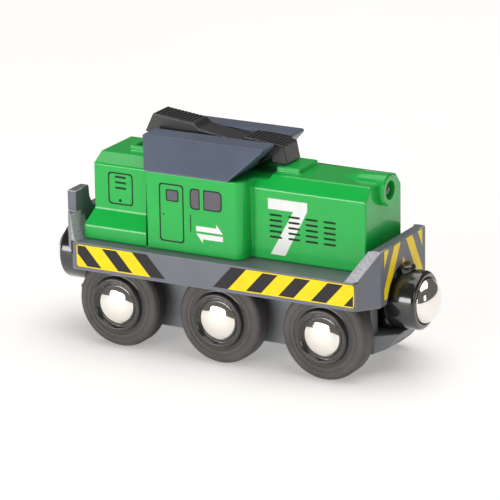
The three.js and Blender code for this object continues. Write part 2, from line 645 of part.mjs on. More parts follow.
const magnetProfile = [
  [0, cupBack + CUP_EDGE + RUNNING_CLEARANCE],
  [magnetRadius, cupBack + CUP_EDGE + RUNNING_CLEARANCE],
  [magnetRadius, lipStart - RUNNING_CLEARANCE],
  [MAGNET_DOME_RADIUS, lipStart - RUNNING_CLEARANCE],
  ...arc(1, [0, 0], 0, Math.PI / 2, 5)
    .map(([r, x]) => [r * MAGNET_DOME_RADIUS, domeCentre + x * MAGNET_DOME_HEIGHT]),
];
const BARREL_BOTTOM = NOSE_TOP + RUNNING_CLEARANCE;
const BARREL_TOP = DECK_UNDERSIDE - RUNNING_CLEARANCE;
const LUG = { radius: 2.6, forward: 4.9, rise: 1.4 };
const couplerBody = cut(
  union(
    turned(cupProfile, "x", 24),
    rod(BARREL_RADIUS, BARREL_BOTTOM - COUPLER_HEIGHT, BARREL_TOP - COUPLER_HEIGHT, "z", 20),
    block([0, cupBack + 0.4], [-2.4, 2.4], [-5, 5]),
    turned(
      [[0, CUP_RADIUS - 0.6], [LUG.radius, CUP_RADIUS - 0.6], [LUG.radius, CUP_RADIUS + LUG.rise - 1],
        [LUG.radius - 1, CUP_RADIUS + LUG.rise], [0, CUP_RADIUS + LUG.rise]],
      "z", 16, [LUG.forward, 0, 0],
    ),
  ),
  rod(PIVOT_PIN_RADIUS + RUNNING_CLEARANCE, -20, 20, "z", 16),
);
for (const [end, front] of [["front", 1], ["rear", -1]]) {
  const coupler = new THREE.Group();
  coupler.position.set(front * COUPLER_PIVOT_X, 0, COUPLER_HEIGHT);
  coupler.rotation.z = front > 0 ? 0 : Math.PI;
  locomotive.add(coupler);
  add(end + "_coupler", couplerBody, "black", coupler);
  add(end + "_magnet", turned(magnetProfile, "x", 24), "chrome", coupler);
  const pinEnds = [NOSE_TOP - 2 - COUPLER_HEIGHT, DECK_UNDERSIDE + 0.8 - COUPLER_HEIGHT];
  add(end + "_coupler_pin", rod(PIVOT_PIN_RADIUS, ...pinEnds, "z", 16), "steel", coupler);
}

// --- Green body shell --------------------------------------------------------------
const above = (height) => DECK_TOP + height;
const hoodSection = mirrored([
  [HOOD.halfWidth, DECK_TOP],
  [HOOD.halfWidth, above(HOOD.shoulder)],
  [HOOD.topHalf, above(HOOD.top)],
]);
const rearSection = mirrored([
  [REAR_HOOD.halfWidth, DECK_TOP],
  [REAR_HOOD.halfWidth, above(REAR_HOOD.shoulder)],
  [REAR_HOOD.topHalf, above(REAR_HOOD.top)],
]);
const roundedPlan = ({ rear, front, halfWidth, corner }) => [
  [rear, -halfWidth],
  ...arc(corner, [front - corner, -halfWidth + corner], -Math.PI / 2, 0, 4),
  ...arc(corner, [front - corner, halfWidth - corner], 0, Math.PI / 2, 4),
  [rear, halfWidth],
];
const lampCentre = [0, 0, above(LAMP.height)];
const lampFront = HOOD.front + LAMP.proud;
const lampTube = turned(
  [
    [0, lampFront - LAMP.length - LAMP.taper],
    [LAMP.radius - 1.6, lampFront - LAMP.length - LAMP.taper],
    [LAMP.radius, lampFront - LAMP.length],
    [LAMP.radius, lampFront - 0.5],
    [LAMP.radius - 0.5, lampFront],
    [0, lampFront],
  ],
  "x", 24, lampCentre,
);
const flareRear = { rear: FLARE.rear, front: CAB.rear + 2, halfWidth: FLARE.halfWidth };
const flareTop = { rear: REAR_HOOD.rear, front: CAB.rear + 2, halfWidth: REAR_HOOD.halfWidth };
const hoodInner = HOOD.halfWidth - BODY_WALL;
const cabInner = CAB.halfWidth - BODY_WALL;
const rearInner = REAR_HOOD.halfWidth - BODY_WALL;
const cabCeiling = above(CAB.height - 1.4);
const under = DECK_TOP - 1;
const recessRim = TOP_RECESS.halfWidth + TOP_RECESS.rim;
const bodyShell = cut(
  union(
    lengthways(hoodSection, CAB.rear + 4, HOOD.front),
    upright(roundedPlan(CAB), DECK_TOP, above(CAB.height)),
    lengthways(rearSection, REAR_HOOD.rear, CAB.rear + 2),
    block([FLARE.rear, CAB.rear + 2], [-FLARE.halfWidth, FLARE.halfWidth], [DECK_TOP, above(FLARE.height)]),
    frustum(flareRear, above(FLARE.height), flareTop, above(FLARE.top)),
    block([BOSS.rear, BOSS.front], [-BOSS.halfWidth, BOSS.halfWidth], [above(HOOD.top - 1), above(BOSS.top)]),
    block(
      [TOP_RECESS.rear - TOP_RECESS.rim, CAB.rear], [-recessRim, recessRim],
      [above(REAR_HOOD.top - 1), above(TOP_RECESS.top)],
    ),
    lampTube,
  ),
  block([ROOF.rear - 0.3, BOSS.rear - 0.3], [-20, 20], [above(CAB.height - 0.01), above(60)]),
  block([CAB.front - 2, HOOD.front - BODY_WALL], [-hoodInner, hoodInner], [under, above(HOOD.shoulder)]),
  block([CAB.rear, CAB.front - BODY_WALL], [-cabInner, cabInner], [under, cabCeiling]),
  block([REAR_HOOD.rear + BODY_WALL, CAB.rear + 1], [-rearInner, rearInner], [under, cabCeiling]),
  block(
    [TOP_RECESS.rear, CAB.rear], [-TOP_RECESS.halfWidth, TOP_RECESS.halfWidth],
    [above(TOP_RECESS.floor), above(60)],
  ),
  rod(LAMP.holeRadius, HOOD.front - 3, lampFront + 1, "x", 20, lampCentre),
  rod(1.2, FLARE.rear - 1, bodyScrewPost.rear, "x", 16, [0, 0, bodyScrewHeight]),
  rod(2.2, FLARE.rear - 1, REAR_HOOD.rear + 0.2, "x", 16, [0, 0, bodyScrewHeight]),
);
add("body_shell", bodyShell, "green");

const bodyScrew = turned(
  [
    [0, REAR_HOOD.rear - 0.9],
    [2.1, REAR_HOOD.rear - 0.9],
    [2.1, REAR_HOOD.rear + 0.2],
    [1.2, REAR_HOOD.rear + 0.2],
    [1.2, bodyScrewPost.rear + bodyScrewPost.length],
    [0, bodyScrewPost.rear + bodyScrewPost.length],
  ],
  "x", 16, [0, 0, bodyScrewHeight],
);
const driverSlot = block(
  [REAR_HOOD.rear - 2, REAR_HOOD.rear - 0.5], [-1.4, 1.4], [bodyScrewHeight - 0.25, bodyScrewHeight + 0.25],
);
add("body_screw", cut(bodyScrew, driverSlot), "steel");
add(
  "headlight_led",
  turned(
    [[0, HOOD.front - 3], [LAMP.holeRadius, HOOD.front - 3], [LAMP.holeRadius, HOOD.front - 0.9],
      [LAMP.holeRadius - 0.9, HOOD.front], [0, HOOD.front + 0.4]],
    "x", 20, lampCentre,
  ),
  "lens",
);

// --- Roof, rocker and its switch ---------------------------------------------------
const roofInset = (ROOF.halfWidth - ROOF.topHalf) / (ROOF.top - ROOF.bottom);
const innerTop = above(ROOF.top - ROOF_SKIN);
const channelOuter = CHANNEL.halfWidth + CHANNEL.wall;
const roofSection = mirrored([
  [CHANNEL.halfWidth, above(CHANNEL.floor)],
  [CHANNEL.halfWidth, above(ROOF.top)],
  [ROOF.topHalf, above(ROOF.top)],
  [ROOF.halfWidth, above(ROOF.bottom)],
  [ROOF.halfWidth - ROOF_SKIN, above(ROOF.bottom)],
  [ROOF.topHalf - ROOF_SKIN * (1 - roofInset), innerTop],
  [channelOuter, innerTop],
  [channelOuter, above(CHANNEL.floor - CHANNEL.wall)],
]);
const roofSide = [
  [ROOF_SIDE.rear, above(ROOF.bottom)],
  [ROOF_SIDE.front, above(ROOF.bottom)],
  [ROOF.front, above(ROOF.top - ROOF_SIDE.lip)],
  [ROOF.front, above(ROOF.top)],
  [ROOF.rear, above(ROOF.top)],
];
const VISOR_WEB = 1.4;
const rearWall = block(
  [ROOF.rear, ROOF.rear + 3 + ROOF_SKIN], [-ROOF.halfWidth + 3, ROOF.halfWidth - 3],
  [above(ROOF.bottom + 0.1), above(ROOF.top - 0.5)],
);
const visorWall = sideways(
  [
    [ROOF_SIDE.front, above(ROOF.bottom)],
    [ROOF.front, above(ROOF.top - ROOF_SIDE.lip)],
    [ROOF.front, above(ROOF.top)],
    [ROOF.front - VISOR_WEB, above(ROOF.top)],
    [ROOF_SIDE.front - 2 * VISOR_WEB, above(ROOF.bottom)],
  ],
  -ROOF.halfWidth, ROOF.halfWidth,
);
const roofEnvelope = lengthways(
  [
    [-ROOF.halfWidth, above(ROOF.bottom)], [ROOF.halfWidth, above(ROOF.bottom)],
    [ROOF.topHalf, above(ROOF.top)], [-ROOF.topHalf, above(ROOF.top)],
  ],
  ROOF.rear, ROOF.front,
);
const channelVoid = block(
  [ROOF.rear - 1, ROOF.front + 1], [-CHANNEL.halfWidth, CHANNEL.halfWidth], [above(CHANNEL.floor), above(60)],
);
const rockerPivotZ = above(ROCKER_PIVOT.height);
const cabRoof = cut(
  union(
    lengthways(roofSection, ROOF.rear, ROOF.front),
    rearWall.intersect(roofEnvelope),
    visorWall.intersect(roofEnvelope),
  ).intersect(sideways(roofSide, -ROOF.halfWidth, ROOF.halfWidth)),
  channelVoid,
  rod(ROCKER_PIN_RADIUS, -channelOuter - 1, channelOuter + 1, "y", 12, [ROCKER_PIVOT.x, 0, rockerPivotZ]),
);
add("cab_roof", cabRoof, "roof");
add(
  "rocker_pin",
  rod(ROCKER_PIN_RADIUS, -channelOuter, channelOuter, "y", 12, [ROCKER_PIVOT.x, 0, rockerPivotZ]),
  "steel",
);

// Heights above the cab's top; the front foot is pressed down.
const rockerSide = [
  [-25.7, 6.6],
  [-23.4, 11.7],
  [-12, 10.4],
  [-10.6, 9.2],
  [-2.9, 7.9],
  [1.2, 7.4],
  [2, 8.7],
  [13, 7.6],
  [14, 2.8],
  [9.8, 2.8],
  [9.4, 4.7],
  [-2.3, 4.3],
  [-8.3, 4.7],
  [-20, 5.7],
].map(([x, height]) => [x, above(CAB.height + height)]);
const rocker = cut(
  sideways(rockerSide, -ROCKER_HALF_WIDTH, ROCKER_HALF_WIDTH),
  rod(ROCKER_PIN_RADIUS + RUNNING_CLEARANCE, -20, 20, "y", 12, [ROCKER_PIVOT.x, 0, rockerPivotZ]),
);
add("rocker_switch", rocker, "black");

const board = { rear: -16, front: 2, halfWidth: 8, thickness: 1.2 };
const boardTop = above(CAB.height - 1.4 - 1.5);
add(
  "circuit_board",
  block(
    [board.rear, board.front], [-board.halfWidth, board.halfWidth], [boardTop - board.thickness, boardTop],
  ),
  "board",
);
add(
  "switch_block",
  union(
    block([-10.3, -2.3], [-3, 3], [boardTop, boardTop + 1.4]),
    block([-7.3, -5.3], [-1, 1], [boardTop + 1.3, boardTop + 1.45]),
  ),
  "black",
);

// --- Battery and its contacts ----------------------------------------------------------
const contactX = HOOD.front - BODY_WALL;
const cellFront = contactX - CELL_FRONT_GAP;
const cellBody = cellFront - CELL_LENGTH;
const cellHeight = DECK_TOP + CELL_RADIUS + 0.4;
const NUB = { radius: 1.9, length: 1 };
add(
  "battery_cell",
  turned(
    [
      [0, cellBody],
      [CELL_RADIUS - 0.4, cellBody],
      [CELL_RADIUS, cellBody + 0.4],
      [CELL_RADIUS, cellFront - NUB.length - 0.4],
      [CELL_RADIUS - 0.4, cellFront - NUB.length],
      [NUB.radius, cellFront - NUB.length],
      [NUB.radius, cellFront],
      [0, cellFront],
    ],
    "x", 20, [0, 0, cellHeight],
  ),
  "cell",
);
add("front_contact", block([cellFront, contactX], [-3.5, 3.5], [DECK_TOP, cellHeight + 3]), "brass");
const springPlateX = cellBody - SPRING_LENGTH;
add("rear_contact", block([springPlateX - 0.4, springPlateX], [-4, 4], [DECK_TOP, cellHeight + 4]), "brass");
const SPRING = { turns: 3, rearRadius: 3.2, frontRadius: 1.8, wire: 0.35, stepsPerTurn: 10 };
class ConicalCoil extends THREE.Curve {
  getPoint(t, target = new THREE.Vector3()) {
    const turn = 2 * Math.PI * SPRING.turns * t;
    const radius = SPRING.rearRadius + (SPRING.frontRadius - SPRING.rearRadius) * t;
    const along = springPlateX + SPRING.wire + (SPRING_LENGTH - 2 * SPRING.wire) * t;
    return target.set(along, radius * Math.cos(turn), radius * Math.sin(turn) + cellHeight);
  }
}
const wirePoints = arc(SPRING.wire * 0.98, [0, 0], 0, (2 * Math.PI * 5) / 6, 5);
const wireSection = new THREE.Shape(wirePoints.map((point) => new THREE.Vector2(...point)));
add(
  "battery_spring",
  solid(new THREE.ExtrudeGeometry(wireSection, {
    steps: SPRING.turns * SPRING.stepsPerTurn,
    bevelEnabled: false,
    extrudePath: new ConicalCoil(),
  })),
  "steel",
);

export default locomotive;
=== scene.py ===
"""A battery-driven toy locomotive for wooden railway track, built piece by piece on its measured frame.

Lengths are in metres; mm turns millimetres into metres. +X is the headlight end, +Z is up.
"""
import math
from math import cos, pi, radians, sin

import bmesh
import bpy
from mathutils import Matrix, Vector


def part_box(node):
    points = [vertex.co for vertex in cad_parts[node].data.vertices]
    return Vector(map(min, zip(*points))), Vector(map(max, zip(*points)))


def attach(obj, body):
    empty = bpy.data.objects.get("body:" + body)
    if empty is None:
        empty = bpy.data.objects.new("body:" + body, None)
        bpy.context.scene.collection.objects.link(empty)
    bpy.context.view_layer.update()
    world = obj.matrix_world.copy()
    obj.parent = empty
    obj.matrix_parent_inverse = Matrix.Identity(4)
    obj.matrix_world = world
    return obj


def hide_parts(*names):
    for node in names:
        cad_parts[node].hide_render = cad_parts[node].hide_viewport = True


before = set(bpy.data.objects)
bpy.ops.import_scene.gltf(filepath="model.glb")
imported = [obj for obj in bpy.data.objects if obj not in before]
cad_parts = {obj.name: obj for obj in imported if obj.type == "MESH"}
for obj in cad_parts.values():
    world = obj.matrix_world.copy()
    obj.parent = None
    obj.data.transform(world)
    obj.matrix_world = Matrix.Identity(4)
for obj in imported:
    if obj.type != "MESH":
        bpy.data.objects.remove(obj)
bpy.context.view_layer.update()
mm = 0.001

# --- Frame moulding -------------------------------------------------------------------------------
# Skirt, deck and both end plates are one injection moulding in slate grey plastic. The skirt has a satin
# face, and the ramps that climb to the end plates are left with a coarse spark-eroded grain. Their
# upward-tilted faces are also painted a much lighter grey, which is painted light from above laid under the
# real speckled grain.


class Wire:
    """A shader socket that can be added, scaled and compared like a number."""

    def __init__(self, tree, socket):
        self.tree, self.socket = tree, socket

    def math(self, operation, first, second=0.0):
        node = self.tree.nodes.new("ShaderNodeMath")
        node.operation = operation
        plug(self.tree, first, node.inputs[0])
        plug(self.tree, second, node.inputs[1])
        return Wire(self.tree, node.outputs[0])

    def __add__(self, other):
        return self.math("ADD", self, other)

    def __mul__(self, other):
        return self.math("MULTIPLY", self, other)

    __radd__ = __add__
    __rmul__ = __mul__

    def __gt__(self, edge):
        return self.math("GREATER_THAN", self, edge)

    def __lt__(self, edge):
        return self.math("LESS_THAN", self, edge)

    def size(self):
        return self.math("ABSOLUTE", self)


def plug(tree, value, socket):
    if isinstance(value, Wire):
        tree.links.new(value.socket, socket)
    else:
        socket.default_value = value


class Finish:
    """A surface finish, built on the Principled shader."""

    def __init__(self, name, **constants):
        self.material = bpy.data.materials.new(name)
        self.material.use_nodes = True
        self.tree = self.material.node_tree
        self.shader = self.tree.nodes["Principled BSDF"]
        for socket, value in constants.items():
            self.shader.inputs[socket.replace("_", " ")].default_value = value
        self.place = self.node("ShaderNodeTexCoord", output="Object")

    def node(self, kind, settings=None, output=0, **inputs):
        made = self.tree.nodes.new(kind)
        for key, value in (settings or {}).items():
            setattr(made, key, value)
        for key, value in inputs.items():
            slot = int(key[1:]) if key[1:].isdigit() else key.replace("_", " ")
            plug(self.tree, value, made.inputs[slot])
        return Wire(self.tree, made.outputs[output])

    def noise(self, scale, detail=3.0, roughness=0.55):
        return self.node(
            "ShaderNodeTexNoise", Vector=self.place, Scale=scale, Detail=detail, Roughness=roughness
        )

    def spread(self, value, low, high, to_low=0.0, to_high=1.0):
        return self.node(
            "ShaderNodeMapRange", Value=value, From_Min=low, From_Max=high, To_Min=to_low, To_Max=to_high
        )

    def blend(self, share, colour, other):
        return self.node("ShaderNodeMix", {"data_type": "RGBA"}, output=2, _0=share, _6=colour, _7=other)

    def axes(self):
        made = self.tree.nodes.new("ShaderNodeSeparateXYZ")
        self.tree.links.new(self.place.socket, made.inputs[0])
        return [Wire(self.tree, socket) for socket in made.outputs]

    def wear(self, reach=0.0004):
        """1 along the edges, where handling polishes and lightens a moulding."""
        rounded_off = self.node("ShaderNodeBevel", {"samples": 4}, Radius=reach)
        flat = self.node("ShaderNodeNewGeometry", output="Normal")
        dot_product = {"operation": "DOT_PRODUCT"}
        turn = self.node("ShaderNodeVectorMath", dot_product, "Value", _0=rounded_off, _1=flat)
        return self.spread(turn, 0.995, 0.90) * self.spread(self.noise(900), 0.3, 0.6, 0.25, 1.0)

    def finish(self, colour, roughness, height=None, depth=0.00002, strength=0.5):
        plug(self.tree, colour, self.shader.inputs["Base Color"])
        plug(self.tree, roughness, self.shader.inputs["Roughness"])
        if height:
            bumped = self.node("ShaderNodeBump", Strength=strength, Distance=depth, Height=height)
            plug(self.tree, bumped, self.shader.inputs["Normal"])
        return self.material


def shade(colour, factor):
    return tuple(min(1.0, channel * factor) for channel in colour[:3]) + (1.0,)


def moulded(name, colour, roughness, grain=2500.0, depth=0.00001, gloss=0.5, worn=1.25, cloud=0.12):
    """Injection-moulded plastic: faint flow clouds, a tool grain and edges lightened by handling."""
    made = Finish(name, IOR=1.46, Coat_Weight=gloss, Coat_Roughness=0.08)
    clouds = made.noise(55, 4)
    tone = made.blend(made.spread(clouds, 0.3, 0.7), shade(colour, 1 - cloud), shade(colour, 1 + cloud))
    tone = made.blend(made.wear() * 0.5, tone, shade(colour, worn))
    rough = made.spread(made.noise(220, 5), 0.3, 0.7, roughness * 0.85, roughness * 1.15)
    return made.finish(tone, rough, made.noise(grain, 2), depth, 0.35)


SLATE = (0.158, 0.168, 0.200, 1.0)
# Lighter grey for the ramps: painted light falling from above on their upward-tilted faces.
RAMP_GREY_WITH_PAINTED_LIGHT = (0.46, 0.46, 0.50, 1.0)
RAMP_START, RAMP_FOOT, RAMP_INNER_SIDE = 36.3 * mm, 26.15 * mm, 9.0 * mm
LEAST_TILT, MOST_TILT = 0.15, 0.96  # upward share of a ramp's normal


def slate_with_ramps():
    made = Finish("slate_frame_plastic", IOR=1.46, Coat_Weight=0.0)
    x, y, z = made.axes()
    along, across = x.size(), y.size()
    normal = made.node("ShaderNodeNewGeometry", output="Normal")
    facing = made.node("ShaderNodeSeparateXYZ", output=2, Vector=normal)
    ramp = (along > RAMP_START) * (z > RAMP_FOOT) * (across > RAMP_INNER_SIDE)
    # Only faces that tilt upwards take the ramp colour, so its lighter grey is painted light from above.
    ramp = ramp * (facing > LEAST_TILT) * (facing < MOST_TILT)
    speckle = made.noise(1500, 3, 0.7)
    clouds = made.spread(made.noise(60, 4), 0.3, 0.7)
    tone = made.blend(clouds, shade(SLATE, 0.9), shade(SLATE, 1.08))
    tone = made.blend(made.wear() * 0.6, tone, shade(SLATE, 1.9))
    # The speckle is the real grain. The much lighter grey under it is painted light from above.
    grain_with_painted_light = made.blend(made.spread(speckle, 0.35, 0.65), shade(RAMP_GREY_WITH_PAINTED_LIGHT, 0.72), shade(RAMP_GREY_WITH_PAINTED_LIGHT, 1.15))
    tone = made.blend(ramp, tone, grain_with_painted_light)
    rough = made.spread(made.noise(240, 4), 0.3, 0.7, 0.36, 0.46) + ramp * 0.25
    return made.finish(tone, rough, speckle * (ramp * 4.0 + 0.25), 0.00004, 0.5)


def place_in_scene(name, mesh):
    piece = bpy.data.objects.new(name, mesh)
    bpy.context.scene.collection.objects.link(piece)
    return piece


def settle(piece):
    """Bakes a piece's modifiers into a plain mesh."""
    evaluated = piece.evaluated_get(bpy.context.evaluated_depsgraph_get())
    mesh = bpy.data.meshes.new_from_object(evaluated)
    piece.modifiers.clear()
    piece.data = mesh
    return piece


FINE_EDGE = 0.12  # rounding in a fine region, as a share of the full one


def soften(piece, width, segments, angle, fine):
    """Rounds a moulding's edges, much less where fine(place) is true, and keeps its flat faces flat."""
    grid = bmesh.new()
    grid.from_mesh(piece.data)
    weights = grid.edges.layers.float.new("bevel_weight_edge")
    for edge in grid.edges:
        if len(edge.link_faces) == 2 and edge.calc_face_angle() > radians(angle):
            middle = (edge.verts[0].co + edge.verts[1].co) / 2
            edge[weights] = FINE_EDGE if fine and fine(middle) else 1.0
    grid.to_mesh(piece.data)
    grid.free()
    piece.data.polygons.foreach_set("use_smooth", [True] * len(piece.data.polygons))
    bevel = piece.modifiers.new("edges", "BEVEL")
    bevel.width = width
    bevel.segments = segments
    bevel.limit_method = "WEIGHT"
    bevel.use_clamp_overlap = False
    bevel.miter_outer = "MITER_ARC"
    normals = piece.modifiers.new("normals", "WEIGHTED_NORMAL")
    normals.mode = "FACE_AREA"
    normals.weight = 60
    return settle(piece)


def moulding(node, width, material, body="chassis", angle=28, segments=3, fine=None):
    """A piece with a CAD node's own shape, its facets joined up and its edges rounded."""
    grid = bmesh.new()
    grid.from_mesh(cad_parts[node].data)
    bmesh.ops.remove_doubles(grid, verts=grid.verts, dist=0.002 * mm)
    bmesh.ops.dissolve_limit(grid, angle_limit=radians(0.5), verts=grid.verts, edges=grid.edges)
    mesh = bpy.data.meshes.new(node + "_surface")
    grid.to_mesh(mesh)
    grid.free()
    piece = soften(place_in_scene(node + "_piece", mesh), width, segments, angle, fine)
    return dress(piece, material, body, node)


def dress(piece, material, body, *nodes, slot=None):
    """Gives a piece its finish, its moving body and the CAD nodes that it stands for."""
    piece.data.materials.clear()
    piece.data.materials.append(material)
    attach(piece, body)
    if nodes:
        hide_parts(*nodes)
    return piece


slate = slate_with_ramps()
moulding("frame", 0.28 * mm, slate)

# --- Warning stripes and end-plate chevrons -------------------------------------------------------
# Printed vinyl labels stuck on the skirt and on the front plate: yellow bars on anthracite, a thin yellow
# border round each label. They are 0.05 mm thick, so they stand just proud of the moulding.
LABEL_LIFT = 0.05 * mm
YELLOW = (1.0, 0.72, 0.006, 1.0)
ANTHRACITE = (0.022, 0.019, 0.022, 1.0)
WHITE_INK = (0.86, 0.87, 0.86, 1.0)
DARK_INK = (0.003, 0.035, 0.010, 1.0)


def ink(name, colour, roughness=0.36):
    made = Finish(name, IOR=1.33, Coat_Weight=0.05, Coat_Roughness=0.15)
    mottle = made.spread(made.noise(420, 4), 0.3, 0.7)
    tone = made.blend(mottle, shade(colour, 0.95), shade(colour, 1.05))
    rough = made.spread(made.noise(600, 3), 0.3, 0.7, roughness * 0.9, roughness * 1.15)
    return made.finish(tone, rough, made.noise(1800, 2), 0.000004, 0.25)


yellow_vinyl = ink("yellow_vinyl", YELLOW)
dark_vinyl = ink("anthracite_vinyl", ANTHRACITE, 0.42)
plate_vinyl = ink("slate_vinyl", (0.18, 0.18, 0.20, 1.0), 0.42)


def clip(outline, point, normal):
    """The part of a convex outline on the side of a line that its normal points to."""
    kept = []
    for start, end in zip(outline, outline[1:] + outline[:1]):
        a = (start - point).dot(normal)
        b = (end - point).dot(normal)
        if a >= 0:
            kept.append(start)
        if a * b < 0:
            kept.append(start + (end - start) * (a / (a - b)))
    return kept


def clipped(outline, border):
    """A convex outline cut to a convex, anticlockwise border."""
    for start, end in zip(border, border[1:] + border[:1]):
        edge = end - start
        outline = clip(outline, start, Vector((-edge.y, edge.x))) if outline else outline
    return outline


def prism(grid, outline, plane, low, high):
    """Adds a closed plate over an outline: plane turns (u, v, lift) into a place."""
    count = len(outline)
    rings = [[grid.verts.new(plane(u, v, lift)) for u, v in outline] for lift in (low, high)]
    grid.faces.new(rings[0][::-1])
    grid.faces.new(rings[1])
    for i in range(count):
        j = (i + 1) % count
        grid.faces.new((rings[0][i], rings[0][j], rings[1][j], rings[1][i]))


def printed(name, outlines, plane, material, low=0.0, high=LABEL_LIFT, slot="slate_frame"):
    """A label or an ink layer made of flat outlines."""
    grid = bmesh.new()
    for outline in outlines:
        if len(outline) > 2:
            prism(grid, [tuple(p) for p in outline], plane, low, high)
    bmesh.ops.recalc_face_normals(grid, faces=grid.faces)
    mesh = bpy.data.meshes.new(name)
    grid.to_mesh(mesh)
    grid.free()
    return dress(place_in_scene(name, mesh), material, "chassis", slot=slot)


def rectangle(u0, v0, u1, v1):
    return [Vector(p) for p in ((u0, v0), (u1, v0), (u1, v1), (u0, v1))]


def bar(u_foot, width, lean, v0, v1):
    """A slanted bar: its foot's left corner, its width and how far its top leans over."""
    u_end = u_foot + width
    return [Vector(p) for p in ((u_foot, v0), (u_end, v0), (u_end + lean, v1), (u_foot + lean, v1))]


frame_low, frame_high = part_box("frame")
LABEL_BOTTOM, LABEL_TOP = 19.9 * mm, 25.6 * mm
STRIPE_PITCH, STRIPE_WIDTH, STRIPE_LEAN = 8.85 * mm, 4.7 * mm, 5.1 * mm
BORDER = 0.28 * mm


def skirt_side(side):
    return lambda u, v, lift: Vector((u, side * (frame_high.y + lift), v))


def skirt_label(name, side, u0, u1, feet, lean, slanted_end):
    """One striped label: anthracite ground with a slanted inner end, yellow bars and a thin yellow border."""
    plane = skirt_side(side)
    v0, v1 = LABEL_BOTTOM, LABEL_TOP
    ground = rectangle(u0, v0, u1, v1)
    ground[3 if slanted_end < 0 else 2].x += lean
    printed(name + "_ground", [ground], plane, dark_vinyl)
    bars = [clipped(bar(foot, STRIPE_WIDTH, lean, v0, v1), ground) for foot in feet]
    outer, inward = (u1, -BORDER) if slanted_end < 0 else (u0, BORDER)
    last_edge = feet[0] if slanted_end < 0 else feet[-1] + STRIPE_WIDTH
    spans = [sorted((outer, stop)) for stop in (last_edge, last_edge + lean)]
    edges = [rectangle(a, low, b, low + BORDER) for (a, b), low in zip(spans, (v0, v1 - BORDER))]
    edges.append(rectangle(min(outer, outer + inward), v0, max(outer, outer + inward), v1))
    printed(name + "_bars", bars, plane, yellow_vinyl, low=LABEL_LIFT, high=1.6 * LABEL_LIFT)
    printed(name + "_border", edges, plane, yellow_vinyl, low=LABEL_LIFT, high=1.8 * LABEL_LIFT)


rear_feet = [-30.6 * mm + i * STRIPE_PITCH for i in (-1, 0, 1)]
front_feet = [4.77 * mm + i * STRIPE_PITCH for i in (0, 1, 2, 3)]
for side, hand in ((-1, "right"), (1, "left")):
    skirt_label(hand + "_rear_label", side, -38.0 * mm, -12.9 * mm, rear_feet, -STRIPE_LEAN, 1)
    skirt_label(hand + "_front_label", side, 0.55 * mm, 39.1 * mm, front_feet, STRIPE_LEAN, -1)

PLATE_HALF, PLATE_BOTTOM, PLATE_TOP = 10.4 * mm, 20.4 * mm, 32.7 * mm
CHEVRON_LEAN = 0.567
COUPLER_HEIGHT, COUPLER_PASSAGE = 18.2 * mm, 8.7 * mm
ARCH_STEPS = 12


def front_plate(u, v, lift):
    return Vector((frame_high.x + lift, u, v))


def outside_arch(outline, clearance=0.25 * mm):
    """Keeps the points of a subdivided outline out of the coupler's arch in the end plate."""
    centre = Vector((0, COUPLER_HEIGHT))
    reach = COUPLER_PASSAGE + clearance
    moved = []
    for start, end in zip(outline, outline[1:] + outline[:1]):
        for i in range(ARCH_STEPS):
            point = start.lerp(end, i / ARCH_STEPS)
            offset = point - centre
            moved.append(centre + offset.normalized() * reach if offset.length < reach else point)
    return moved


def chevron(outer, width):
    """The left and the right leg of one inverted V, clipped to the plate's label."""
    legs = []
    foot = outer + (PLATE_TOP - PLATE_BOTTOM) * CHEVRON_LEAN
    for hand in (-1, 1):
        leg = [
            Vector((hand * outer, PLATE_TOP)),
            Vector((hand * foot, PLATE_BOTTOM)),
            Vector((hand * (foot - width), PLATE_BOTTOM)),
            Vector((hand * (outer - width), PLATE_TOP)),
        ]
        sides = sorted((0, hand * PLATE_HALF))
        half_plate = rectangle(sides[0], PLATE_BOTTOM, sides[1], PLATE_TOP)
        legs.append(outside_arch(clipped(leg[::-hand], half_plate)))
    return [leg for leg in legs if leg]


for hand, word in ((-1, "right"), (1, "left")):
    sides = sorted((0, hand * PLATE_HALF))
    ground = rectangle(sides[0], PLATE_BOTTOM, sides[1], PLATE_TOP)
    printed("front_label_ground_" + word, [outside_arch(ground)], front_plate, plate_vinyl)
tip = [Vector((0, 28.7 * mm)), Vector((-1.0 * mm, 27.0 * mm)), Vector((1.0 * mm, 27.0 * mm))]
chevrons = chevron(4.9 * mm, 3.4 * mm) + chevron(11.9 * mm, 4.0 * mm) + [tip]
printed("front_label_chevrons", chevrons, front_plate, yellow_vinyl, low=LABEL_LIFT, high=1.6 * LABEL_LIFT)

# --- Lower chassis, bottom cover and screws -------------------------------------------------------
# The grey box between the wheels holds the axles, the gears and the coupler pivots. A flat cover closes it
# from below with two screws, and four deep screws tie it to the frame.
chassis_grey = moulded(
    "chassis_grey_plastic", (0.19, 0.20, 0.215, 1.0), 0.55, grain=1100, depth=0.00003, gloss=0.0, worn=1.5
)
moulding("lower_chassis", 0.3 * mm, chassis_grey)
moulding("bottom_cover", 0.2 * mm, chassis_grey)


def metal(name, colour, roughness, brushed=0.0, cloud=0.06):
    """Bare or plated metal: faint tarnish clouds and fine polishing marks."""
    made = Finish(name, Metallic=1.0)
    clouds = made.spread(made.noise(120, 4), 0.3, 0.7)
    tone = made.blend(clouds, shade(colour, 1 - cloud), shade(colour, 1 + cloud))
    marks = made.noise(5200 if brushed else 700, 2)
    rough = made.spread(marks, 0.3, 0.7, roughness * 0.8, roughness * 1.3 + brushed * 0.1)
    return made.finish(tone, rough, marks, 0.000003, 0.08 + brushed)


steel = metal("bright_steel", (0.56, 0.57, 0.58, 1.0), 0.3, brushed=0.3)
brass = metal("bright_brass", (0.70, 0.48, 0.17, 1.0), 0.28, brushed=0.2)


def refinish(node, material):
    """Keeps a CAD node as it is and gives it a better finish."""
    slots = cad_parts[node].data.materials
    if len(slots):
        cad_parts[node].material_slots[0].link = "OBJECT"
        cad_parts[node].material_slots[0].material = material
    else:
        slots.append(material)


SCREWS = ["body_screw"] + ["cover_screw_" + end for end in ("front", "rear")]
SCREWS += [f"chassis_screw_{end}_{hand}" for end in ("front", "rear") for hand in ("left", "right")]
for screw in SCREWS:
    refinish(screw, steel)

